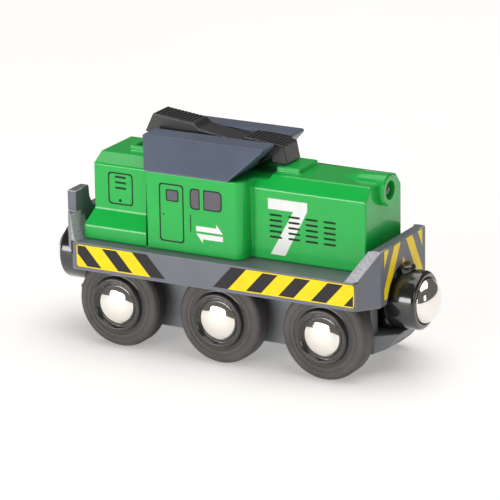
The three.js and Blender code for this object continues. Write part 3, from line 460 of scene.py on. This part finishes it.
# --- Wheels and axles -----------------------------------------------------------------------------
# Each steel axle is pressed into two black wheels. A grey-brown rubber tyre sits round each wheel and a domed
# chrome cap is pressed into its cup. Only the driven rear tyres are ribbed across the tread for grip.
WHEEL_RADIUS = 11.3
RIB_COUNT, RIB_HEIGHT, RIB_WIDTH, RIB_LENGTH = 96, 0.24, 0.36, 3.3
TREAD_MIDDLE = 13.65


def arc(centre, radius, start, end, steps):
    """Points on a circle, from one angle to another in degrees."""
    angles = [radians(start + (end - start) * i / steps) for i in range(steps + 1)]
    return [(centre[0] + radius * cos(a), centre[1] + radius * sin(a)) for a in angles]


def turned(name, profile, axis, centre, segments=96, closed=True, crease=32):
    """A turned piece from (radius, distance along the axis) points in millimetres."""
    grid = bmesh.new()
    along = Vector(axis)
    out = Vector((0, 0, 1)) if abs(along.z) < 0.5 else Vector((1, 0, 0))
    rings = []
    for radius, height in profile:
        if radius < 1e-6:
            rings.append([grid.verts.new(Vector(centre) + along * height * mm)])
            continue
        ring = []
        for i in range(segments):
            spoke = Matrix.Rotation(2 * pi * i / segments, 3, along) @ out
            ring.append(grid.verts.new(Vector(centre) + (along * height + spoke * radius) * mm))
        rings.append(ring)
    for first, second in zip(rings, rings[1:] + (rings[:1] if closed else [])):
        for i in range(segments):
            j = (i + 1) % segments
            corners = [first[i % len(first)], first[j % len(first)]]
            corners += [second[j % len(second)], second[i % len(second)]]
            corners = [c for k, c in enumerate(corners) if c not in corners[:k]]
            if len(corners) > 2:
                grid.faces.new(corners)
    bmesh.ops.recalc_face_normals(grid, faces=grid.faces)
    mesh = bpy.data.meshes.new(name)
    grid.to_mesh(mesh)
    grid.free()
    mesh.polygons.foreach_set("use_smooth", [True] * len(mesh.polygons))
    mesh.set_sharp_from_angle(angle=radians(crease))
    return place_in_scene(name, mesh)


def rubber(name, colour):
    """Moulded rubber: dull, a little dusty on its face, with faint turning rings from the mould."""
    made = Finish(name, IOR=1.5)
    dust = made.spread(made.noise(160, 5, 0.65), 0.35, 0.7)
    tone = made.blend(dust, shade(colour, 0.82), shade(colour, 1.22))
    tone = made.blend(made.wear() * 0.4, tone, shade(colour, 1.6))
    rough = made.spread(made.noise(400, 3), 0.3, 0.7, 0.5, 0.68)
    return made.finish(tone, rough, made.noise(2200, 3), 0.00002, 0.35)


tyre_rubber = rubber("tyre_rubber", (0.075, 0.067, 0.066, 1.0))
wheel_black = moulded(
    "wheel_black_plastic", (0.022, 0.020, 0.020, 1.0), 0.3, grain=2600, depth=0.000004, gloss=0.7, worn=2.2
)
chrome = metal("polished_chrome", (0.88, 0.85, 0.80, 1.0), 0.07, cloud=0.02)


def dome(radius, foot, rise, first, step):
    """The profile of a dome on the axis, from an angle near its rim up to its crown."""
    angles = [radians(angle) for angle in range(first, 90, step)]
    return [(radius * cos(a), foot + rise * sin(a)) for a in angles] + [(0, foot + rise)]


def across_tyre(radius):
    """A tyre's cross-section: square at the back, rounded at the face, with a fine groove in the face."""
    shoulder, tread_in, tread_out = 1.15, 11.1, 16.5
    return [
        (8.1, tread_in),
        *arc((radius - 0.8, tread_in + 0.8), 0.8, -90, 0, 5),
        *arc((radius - shoulder, tread_out - shoulder), shoulder, 0, 90, 8),
        (9.25, tread_out),
        (9.1, tread_out - 0.12),
        (8.9, tread_out - 0.12),
        (8.75, tread_out),
        (8.1, tread_out),
    ]


WHEEL_PROFILE = [
    (1.02, 11.1),
    (8.1, 11.1),
    (8.1, 16.42),
    (7.6, 16.45),
    *arc((7.35, 16.85), 0.4, -90, -160, 4),
    *arc((6.42, 17.55), 0.45, 10, 90, 5),
    *arc((6.15, 17.7), 0.3, 90, 150, 4),
    (5.3, 17.0),
    (5.15, 16.9),
    (1.02, 16.9),
]
CAP_PROFILE = [(0, 16.9)] + dome(5.1, 16.9, 1.7, 0, 6)


def new_tree(name, sockets):
    """A new Geometry Nodes tree with named inputs and one geometry output."""
    tree = bpy.data.node_groups.new(name, "GeometryNodeTree")
    for label, kind, value in sockets:
        made = tree.interface.new_socket(label, in_out="INPUT", socket_type=kind)
        if value is not None:
            made.default_value = value
    tree.interface.new_socket("Geometry", in_out="OUTPUT", socket_type="NodeSocketGeometry")
    return tree, tree.nodes.new("NodeGroupInput"), tree.nodes.new("NodeGroupOutput")


def connect(tree, links):
    for start, end in links:
        tree.links.new(start, end)


def deliver(tree, given, result, shapes):
    """Ends a tree: its instances made real, in the given material."""
    real = tree.nodes.new("GeometryNodeRealizeInstances")
    paint = tree.nodes.new("GeometryNodeSetMaterial")
    connect(tree, [
        (shapes, real.inputs[0]),
        (real.outputs[0], paint.inputs["Geometry"]),
        (given.outputs["Finish"], paint.inputs["Material"]),
        (paint.outputs[0], result.inputs[0]),
    ])


def grown(name, tree, values):
    """A plain mesh from a Geometry Nodes tree with these input values."""
    piece = place_in_scene(name, bpy.data.meshes.new(name))
    growth = piece.modifiers.new("growth", "NODES")
    growth.node_group = tree
    for item in tree.interface.items_tree:
        if item.item_type == "SOCKET" and item.in_out == "INPUT" and item.name in values:
            growth[item.identifier] = values[item.name]
    return settle(piece)


def tread_tree():
    """Bars laid round a ring about the Y axis, each pointing outwards."""
    tree, given, result = new_tree("tread_bars", [
        ("Count", "NodeSocketInt", RIB_COUNT),
        ("Radius", "NodeSocketFloat", WHEEL_RADIUS * mm),
        ("Bar", "NodeSocketVector", None),
        ("Centre", "NodeSocketVector", None),
        ("Turn", "NodeSocketVector", None),
        ("Finish", "NodeSocketMaterial", None),
    ])
    ring = tree.nodes.new("GeometryNodeMeshCircle")
    spot = tree.nodes.new("GeometryNodeInputPosition")
    aim = tree.nodes.new("FunctionNodeAlignRotationToVector")
    aim.axis, aim.pivot_axis = "X", "Z"
    bar_shape = tree.nodes.new("GeometryNodeMeshCube")
    lay = tree.nodes.new("GeometryNodeInstanceOnPoints")
    move = tree.nodes.new("GeometryNodeTransform")
    connect(tree, [
        (given.outputs["Count"], ring.inputs["Vertices"]),
        (given.outputs["Radius"], ring.inputs["Radius"]),
        (spot.outputs[0], aim.inputs["Vector"]),
        (given.outputs["Bar"], bar_shape.inputs["Size"]),
        (ring.outputs[0], lay.inputs["Points"]),
        (bar_shape.outputs[0], lay.inputs["Instance"]),
        (aim.outputs[0], lay.inputs["Rotation"]),
        (lay.outputs[0], move.inputs["Geometry"]),
        (given.outputs["Centre"], move.inputs["Translation"]),
        (given.outputs["Turn"], move.inputs["Rotation"]),
    ])
    deliver(tree, given, result, move.outputs[0])
    return tree


tread_bars = tread_tree()
for place in ("rear", "middle", "front"):
    body = place + "_wheelset"
    refinish(place + "_axle", steel)
    axle_low, axle_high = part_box(place + "_axle")
    x = (axle_low.x + axle_high.x) / 2
    centre = (x, 0, WHEEL_RADIUS * mm)
    ribbed = place == "rear"
    tyre_radius = WHEEL_RADIUS - RIB_HEIGHT if ribbed else WHEEL_RADIUS
    for side, hand in ((-1, "right"), (1, "left")):
        name = f"{place}_{hand}"
        axis = (0, side, 0)
        tyre = turned(name + "_rubber_tyre", across_tyre(tyre_radius), axis, centre, 120)
        dress(tyre, tyre_rubber, body, name + "_tyre")
        wheel = turned(name + "_moulded_wheel", WHEEL_PROFILE, axis, centre)
        dress(wheel, wheel_black, body, name + "_wheel")
        cap = turned(name + "_chrome_cap", CAP_PROFILE, axis, centre, closed=False, crease=60)
        dress(cap, chrome, body, name + "_cap")
        if ribbed:
            bars = grown(name + "_tread_ribs", tread_bars, {
                "Count": RIB_COUNT,
                "Radius": (tyre_radius - 0.02) * mm,
                "Bar": (2 * RIB_HEIGHT * mm, RIB_WIDTH * mm, RIB_LENGTH * mm),
                "Centre": (x, side * TREAD_MIDDLE * mm, WHEEL_RADIUS * mm),
                "Turn": (pi / 2, 0, 0),
                "Finish": tyre_rubber,
            })
            dress(bars, tyre_rubber, body, slot="tyre_rubber")

# --- Motor and gears ------------------------------------------------------------------------------
# A small motor lies across the loco, above the rear axle. Its brass pinion turns a white acetal idler, which
# turns the gear on the rear axle.
acetal = moulded(
    "white_acetal", (0.80, 0.77, 0.70, 1.0), 0.42,
    grain=1800, depth=0.000006, gloss=0.1, worn=1.02, cloud=0.04,
)
for node, material in (
    ("motor_can", steel),
    ("motor_pinion", brass),
    ("idler_pin", steel),
    ("axle_gear", acetal),
    ("idler_gear", acetal),
    ("motor_end_bell", wheel_black),
):
    refinish(node, material)

# --- Couplers -------------------------------------------------------------------------------------
# A black cup on a vertical pivot holds a free-turning magnet under a polished dome, so that either pole can
# face the next wagon. The pivot pin runs from the chassis nose to the deck.
COUPLER_PIVOT, LUG_OFFSET = 39.3 * mm, 4.9 * mm
cup_black = moulded(
    "coupler_black_plastic", (0.012, 0.012, 0.013, 1.0), 0.2, grain=1500, depth=0.000004, gloss=1.0, worn=2.5
)
CUP_PROFILE = [
    (0, 1.8),
    *arc((5.6, 3.5), 1.7, -90, 0, 6),
    *arc((6.3, 9.45), 1.0, 0, 90, 6),
    *arc((6.1, 10.15), 0.3, 90, 170, 3),
    (5.68, 9.7),
    (5.66, 4.2),
    (0, 4.2),
]
MAGNET_PROFILE = [(0, 4.3), (5.6, 4.3), (5.6, 10.0)] + dome(5.6, 10.1, 3.5, 3, 5)
BARREL_PROFILE = [(0, 10.6), (2.7, 10.6), (3, 10.9), (3, 24.1), (2.7, 24.4), (0, 24.4)]
LUG_PROFILE = [(0, 24.6), (2.5, 24.6), *arc((1.5, 25.8), 1.1, 0, 90, 6), (0, 26.9)]
for end, front in (("front", 1), ("rear", -1)):
    pivot = (front * COUPLER_PIVOT, 0, COUPLER_HEIGHT)
    foot = (front * COUPLER_PIVOT, 0, 0)
    lug_foot = (front * (COUPLER_PIVOT + LUG_OFFSET), 0, 0)
    parts = [
        turned(end + "_coupler_cup", CUP_PROFILE, (front, 0, 0), pivot, closed=False),
        turned(end + "_coupler_barrel", BARREL_PROFILE, (0, 0, 1), foot, 64, closed=False),
        turned(end + "_coupler_lug", LUG_PROFILE, (0, 0, 1), lug_foot, 48, closed=False),
    ]
    dress(parts[0], cup_black, end + "_coupler_body", end + "_coupler")
    for part in parts[1:]:
        dress(part, cup_black, end + "_coupler_body", slot="black_plastic")
    magnet = turned(end + "_magnet_dome", MAGNET_PROFILE, (front, 0, 0), pivot, closed=False, crease=50)
    dress(magnet, chrome, end + "_magnet_body", end + "_magnet")
    refinish(end + "_coupler_pin", steel)

# --- Battery, contacts and board ------------------------------------------------------------------
# One AAA cell lies in the front hood, between two brass contacts, and reaches back under the cab. The
# circuit board with its switch lies under the rocker.
cell_wrap = ink("cell_wrap_blue", (0.025, 0.05, 0.14, 1.0), 0.3)
board_green = ink("board_green", (0.012, 0.13, 0.04, 1.0), 0.4)
for node, material in (
    ("battery_cell", cell_wrap),
    ("front_contact", brass),
    ("rear_contact", brass),
    ("battery_spring", steel),
    ("circuit_board", board_green),
    ("switch_block", wheel_black),
    ("rocker_pin", steel),
):
    refinish(node, material)

# --- Body shell -----------------------------------------------------------------------------------
# Hoods and cab are one gloss green moulding that drops over the frame and is held by one screw at its rear
# end. A rimmed recess in the rear hood's top leaves room for the rocker.
SHELL_GREEN = (0.008, 0.46, 0.068, 1.0)
WORN_GREEN = (0.17, 0.62, 0.26, 1.0)


def gloss_green():
    made = Finish("gloss_green_plastic", IOR=1.4, Coat_Weight=0.35, Coat_Roughness=0.05)
    clouds = made.spread(made.noise(38, 4), 0.3, 0.7)
    tone = made.blend(clouds, shade(SHELL_GREEN, 0.94), shade(SHELL_GREEN, 1.06))
    tone = made.blend(made.wear() * 0.45, tone, WORN_GREEN)
    specks = made.spread(made.noise(2600, 2, 0.8), 0.69, 0.72)
    tone = made.blend(specks * 0.25, tone, shade(SHELL_GREEN, 0.6))
    rough = made.spread(made.noise(150, 5, 0.65), 0.3, 0.7, 0.19, 0.29)
    waves = made.noise(70, 2) + made.noise(1900, 2) * 0.08
    return made.finish(tone, rough, waves, 0.00004, 0.3)


shell_green = gloss_green()


def round_the_lamp(place):
    """True at the lamp tube, whose thin facets can't take the full rounding."""
    return place.x > 27 * mm and abs(place.y) < 5 * mm and place.z > 40 * mm


moulding("body_shell", 0.5 * mm, shell_green, angle=25, segments=4, fine=round_the_lamp)

# --- Printing on the shell ------------------------------------------------------------------------
# Doors, panels, vents, windows and a plain figure 7 are pad-printed in dark green, grey and white.
# Each layer of ink is a few hundredths of a millimetre thick.
HOOD_SIDE, CAB_SIDE, REAR_SIDE = 9.6 * mm, 14.0 * mm, 11.2 * mm
INK_LIFT = 0.02 * mm
OUTLINE_WIDTH, PANE_RIM_WIDTH = 0.38 * mm, 0.34 * mm
dark_green_ink = ink("dark_green_ink", DARK_INK, 0.3)
window_ink = ink("window_grey_ink", (0.125, 0.117, 0.138, 1.0), 0.3)
white_ink = ink("white_ink", WHITE_INK, 0.32)


def wall(side, distance):
    return lambda u, v, lift: Vector((u, side * (distance + lift), v))


def rounded(u0, v0, u1, v1, radius, corners="1111", steps=5):
    """A rectangle with rounded corners, from the lower left round anticlockwise."""
    outline = []
    spots = ((u0, v0, 180), (u1, v0, 270), (u1, v1, 0), (u0, v1, 90))
    for (u, v, start), wanted in zip(spots, corners):
        reach = radius if wanted == "1" else radius * 0.35
        cu = u + reach if u == u0 else u - reach
        cv = v + reach if v == v0 else v - reach
        outline += [Vector(p) for p in arc((cu, cv), reach, start, start + 90, steps)]
    return outline


def frame_of(outer, width):
    """Quads that follow an outline, so that it becomes a line of this width."""
    middle = sum(outer, Vector((0, 0))) / len(outer)
    spans = [max(abs(p.x - middle.x) for p in outer), max(abs(p.y - middle.y) for p in outer)]
    shrink = Matrix.Diagonal([1 - width / span for span in spans])
    inner = [middle + shrink @ (p - middle) for p in outer]
    return [[outer[i - 1], outer[i], inner[i], inner[i - 1]] for i in range(len(outer))]


def box_mm(*edges):
    return [edge * mm for edge in edges]


def shapes_mm(shapes):
    return [[Vector((u, v)) * mm for u, v in shape] for shape in shapes]


def dot(u, v, radius):
    return [Vector(p) for p in arc((u * mm, v * mm), radius * mm, 0, 345, 23)]


def pad_print(name, outlines, plane, material, low=0.0, high=INK_LIFT):
    return printed(name, outlines, plane, material, low=low, high=high, slot="green_shell")


SEVEN_REAR, SEVEN_FRONT = 11.8, 22.5
SEVEN = [
    [(SEVEN_REAR, 41.8), (SEVEN_REAR, 39.1), (18.7, 39.1), (SEVEN_FRONT, 41.8)],
    [(SEVEN_FRONT, 41.8), (18.7, 39.1), (12.4, 27.7), (16.4, 27.7), (SEVEN_FRONT, 39.6)],
]
FAR_SEVEN = [[(SEVEN_REAR + SEVEN_FRONT - u, v) for u, v in shape] for shape in SEVEN]
HALF_ARROWS = [
    [(-5.8, 32.3), (-0.2, 32.3), (-0.2, 33.6), (-5.8, 33.6)],
    [(-0.2, 32.3), (1.6, 32.3), (-0.2, 34.6)],
    [(-4.0, 30.4), (1.6, 30.4), (1.6, 31.7), (-4.0, 31.7)],
    [(-4.0, 31.7), (-5.8, 31.7), (-4.0, 29.4)],
]
VENT_COLUMNS = ((12.15, 15.6), (17.3, 20.5), (22.0, 25.4), (26.9, 30.25))
VENT_ROWS, VENT_TOP, VENT_PITCH, VENT_HEIGHT = 5, 37.7, 1.3875, 0.55
PANEL_SLOTS, PANEL_SLOT_HEIGHT = (42.3, 40.9, 39.5), 0.54


def slot_shape(left, right, height, middle, corner):
    """A narrow printed slot with rounded ends, all in millimetres."""
    return rounded(*box_mm(left, middle - height / 2, right, middle + height / 2), corner * mm)


for side, hand in ((-1, "right"), (1, "left")):
    hood, cab, rear = wall(side, HOOD_SIDE), wall(side, CAB_SIDE), wall(side, REAR_SIDE)
    panel = frame_of(rounded(*box_mm(-32.2, 35.2, -25.1, 43.45), 0.9 * mm), OUTLINE_WIDTH)
    panel += [slot_shape(-30.2, -27.05, PANEL_SLOT_HEIGHT, middle, 0.2) for middle in PANEL_SLOTS]
    panel.append(dot(-28.8, 36.3, 0.42))
    pad_print(hand + "_panel", panel, rear, dark_green_ink)
    door = frame_of(rounded(*box_mm(-16.1, 28.55, -9.2, 43.4), 0.8 * mm), OUTLINE_WIDTH)
    door.append(dot(-14.9, 35.5, 0.24))
    door.append(rectangle(*box_mm(-7.52, 31.9, -7.24, 36.3)))
    pad_print(hand + "_door", door, cab, dark_green_ink)
    panes = [
        rounded(*box_mm(-14.2, 38.9, -10.6, 42.0), 0.5 * mm),
        rounded(*box_mm(-7.5, 37.65, -4.7, 43.0), 1.1 * mm, "1001"),
        rounded(*box_mm(-3.7, 37.8, 1.46, 43.0), 1.1 * mm, "0110"),
    ]
    pad_print(hand + "_panes", panes, cab, window_ink)
    rims = [strip for pane in panes for strip in frame_of(pane, PANE_RIM_WIDTH)]
    pad_print(hand + "_pane_rims", rims, cab, dark_green_ink, INK_LIFT, 1.5 * INK_LIFT)
    pad_print(hand + "_arrows", shapes_mm(HALF_ARROWS), cab, white_ink)
    vents = [
        slot_shape(left, right, VENT_HEIGHT, VENT_TOP - row * VENT_PITCH, 0.3)
        for left, right in VENT_COLUMNS for row in range(VENT_ROWS)
    ]
    pad_print(hand + "_vents", vents, hood, dark_green_ink, INK_LIFT, 1.8 * INK_LIFT)
    pad_print(hand + "_seven", shapes_mm(SEVEN if side < 0 else FAR_SEVEN), hood, white_ink)

# --- Headlight ------------------------------------------------------------------------------------
# A small lamp with a glossy lens sits in the green tube on the front of the hood. Its lens is stretched
# forward to fill the tube and coloured near black. The near black is painted shade that stands in for the
# dark, deep recess.
lens = Finish("lamp_lens", IOR=1.49, Coat_Weight=0.8, Coat_Roughness=0.03)
lens_clouds = lens.spread(lens.noise(900, 3), 0.3, 0.7)
# A real glossy lens, coloured near-black amber: painted shade for the unlit depth of the lamp tube.
lens_tone_painted_shade = lens.blend(lens_clouds, (0.030, 0.022, 0.014, 1.0), (0.060, 0.045, 0.026, 1.0))
lens.finish(lens_tone_painted_shade, 0.12, lens.noise(1400, 2))
BULB_RADIUS, BULB_LENGTH = 2.2, 3.75
LAMP_FACE = 39.7 * mm
BULB_PROFILE = [
    (0, 0),
    (BULB_RADIUS, 0),
    (BULB_RADIUS, 1.6),
    *arc((0, 1.6), 2.15, 8, 84, 9),
    (0, BULB_LENGTH),
]
led_low, led_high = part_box("headlight_led")
# The bulb is widened to the LED's width and stretched out to the lamp face. Its near-black lens then fills
# the tube where there is only shade.
wider = (led_high.y - led_low.y) / (2 * BULB_RADIUS * mm)
longer = (LAMP_FACE - led_low.x) / (BULB_LENGTH * mm)
bulb_profile = [(radius * wider, along * longer) for radius, along in BULB_PROFILE]
bulb_foot = (led_low.x, 0, (led_low.z + led_high.z) / 2)
bulb = turned("headlight_bulb", bulb_profile, (1, 0, 0), bulb_foot, 64, closed=False, crease=50)
dress(bulb, lens.material, "chassis", "headlight_led")

# --- Cab roof and rocker --------------------------------------------------------------------------
# The roof is a satin slate moulding clipped over the cab, with a channel along its middle for the rocker. The
# black rocker pivots across the channel and carries ribs under the finger at both ends.
roof_slate = moulded(
    "roof_slate_plastic", (0.090, 0.112, 0.165, 1.0), 0.46, grain=2100, depth=0.000012, gloss=0.1, worn=1.7
)
moulding("cab_roof", 0.5 * mm, roof_slate, angle=22, segments=4)
rocker_black = moulded(
    "rocker_black_plastic", (0.018, 0.018, 0.019, 1.0), 0.34, grain=1700, depth=0.000008, gloss=0.5, worn=3.5
)
rocker = moulding("rocker_switch", 0.3 * mm, rocker_black, body="rocker")


def rib_tree():
    """Bars in a straight row, each turned the same way."""
    tree, given, result = new_tree("finger_ribs", [
        ("Count", "NodeSocketInt", 10),
        ("Start", "NodeSocketVector", None),
        ("Step", "NodeSocketVector", None),
        ("Bar", "NodeSocketVector", None),
        ("Slope", "NodeSocketVector", None),
        ("Finish", "NodeSocketMaterial", None),
    ])
    row = tree.nodes.new("GeometryNodeMeshLine")
    row.mode = "OFFSET"
    bar_shape = tree.nodes.new("GeometryNodeMeshCube")
    lay = tree.nodes.new("GeometryNodeInstanceOnPoints")
    connect(tree, [
        (given.outputs["Count"], row.inputs["Count"]),
        (given.outputs["Start"], row.inputs["Start Location"]),
        (given.outputs["Step"], row.inputs["Offset"]),
        (given.outputs["Bar"], bar_shape.inputs["Size"]),
        (row.outputs[0], lay.inputs["Points"]),
        (bar_shape.outputs[0], lay.inputs["Instance"]),
        (given.outputs["Slope"], lay.inputs["Rotation"]),
    ])
    deliver(tree, given, result, lay.outputs[0])
    return tree


# The ribs stand on the buttons, so the rocker's top is lowered by a rib's height to stay inside its box.
RIB_SINK, BUTTON_FOOT = 0.22 * mm, 53.0 * mm
FINGER_RIB = (0.5 * mm, 6.3 * mm, 0.36 * mm)
RIB_MARGIN, RIB_PITCH = 0.75, 1.02
BUTTON_TOPS = {"rear": ((-23.4, 57.7), (-12.0, 56.4)), "front": ((2.0, 54.7), (13.0, 53.6))}
finger_ribs = rib_tree()
for vertex in rocker.data.vertices:
    if vertex.co.z > BUTTON_FOOT:
        vertex.co.z -= RIB_SINK
for button, ((x0, z0), (x1, z1)) in BUTTON_TOPS.items():
    fall = math.atan2(z0 - z1, x1 - x0)
    count = int((x1 - x0 - 2 * RIB_MARGIN) / RIB_PITCH) + 1
    start = Vector((x0 + RIB_MARGIN, 0, z0 - RIB_MARGIN * math.tan(fall))) * mm - Vector((0, 0, RIB_SINK))
    ribs = grown(button + "_button_ribs", finger_ribs, {
        "Count": count,
        "Start": start,
        "Step": Vector((RIB_PITCH, 0, -RIB_PITCH * math.tan(fall))) * mm,
        "Bar": FINGER_RIB,
        "Slope": (0, fall, 0),
        "Finish": rocker_black,
    })
    dress(ribs, rocker_black, "rocker", slot="black_plastic")

# --- Table, light and camera ----------------------------------------------------------------------
# A white table under a broad soft light from above, a low one from the right side and a weak fill from the
# front, seen with a long lens. The room is dim, so that the chrome shows the bright table below and a dark
# ceiling with the soft light in it.
TABLE_REACH = 3
table_mesh = bpy.data.meshes.new("table")
corners = [(x * TABLE_REACH, y * TABLE_REACH, 0) for x, y in ((-1, -1), (1, -1), (1, 1), (-1, 1))]
table_mesh.from_pydata(corners, [], [(0, 1, 2, 3)])
table = place_in_scene("table_top", table_mesh)
paper = Finish("table_paper", IOR=1.4, Emission_Color=(1.0, 0.985, 0.965, 1.0), Emission_Strength=0.3)
paper_clouds = paper.spread(paper.noise(6, 3), 0.3, 0.7)
paper_tone = paper.blend(paper_clouds, (0.90, 0.895, 0.89, 1.0), (0.93, 0.925, 0.92, 1.0))
paper.finish(paper_tone, 0.6, paper.noise(900, 2))
table_mesh.materials.append(paper.material)


def soft_light(name, place, target, size, energy, colour):
    lamp = bpy.data.lights.new(name, "AREA")
    lamp.shape = "RECTANGLE"
    lamp.size, lamp.size_y = size
    lamp.energy = energy
    lamp.color = colour
    holder = place_in_scene(name, lamp)
    aim = (Vector(target) - Vector(place)).to_track_quat("-Z", "Y")
    holder.matrix_world = Matrix.Translation(place) @ aim.to_matrix().to_4x4()


soft_light("overhead_box", (0.05, 0.2, 1.0), (0.0, 0.1, 0.0), (1.5, 1.1), 10.0, (1.0, 0.985, 0.965))
soft_light("key_box", (-0.42, -1.15, 0.22), (0, 0, 0.03), (0.9, 0.34), 9.0, (1.0, 0.99, 0.975))
soft_light("front_fill", (1.2, -0.35, 0.35), (0, 0, 0.03), (0.3, 0.4), 1.2, (1.0, 0.985, 0.97))

room = bpy.data.worlds.new("studio_room")
room.use_nodes = True
backdrop = room.node_tree.nodes["Background"]
backdrop.inputs["Color"].default_value = (0.62, 0.58, 0.55, 1.0)
backdrop.inputs["Strength"].default_value = 0.22
bpy.context.scene.world = room
bpy.context.scene.view_settings.view_transform = "Standard"

AZIMUTH, ELEVATION, ROLL = radians(28.698), radians(17.358), radians(-0.867)
forward = Vector((-sin(AZIMUTH) * cos(ELEVATION), cos(AZIMUTH) * cos(ELEVATION), -sin(ELEVATION)))
level = Vector((cos(AZIMUTH), sin(AZIMUTH), 0))
upward = level.cross(forward)
right = level * cos(ROLL) + upward * sin(ROLL)
top = upward * cos(ROLL) - level * sin(ROLL)
AIM_POINT, DISTANCE = Vector((1.386, 0, 24.456)) * mm, 0.9
spot = AIM_POINT - forward * DISTANCE
lens_data = bpy.data.cameras.new("long_lens")
lens_data.lens = 262.42
lens_data.sensor_width = 36.0
lens_data.clip_start = 0.05
camera = place_in_scene("camera", lens_data)
camera.matrix_world = Matrix.Translation(spot) @ Matrix((right, top, -forward)).transposed().to_4x4()
bpy.context.scene.camera = camera
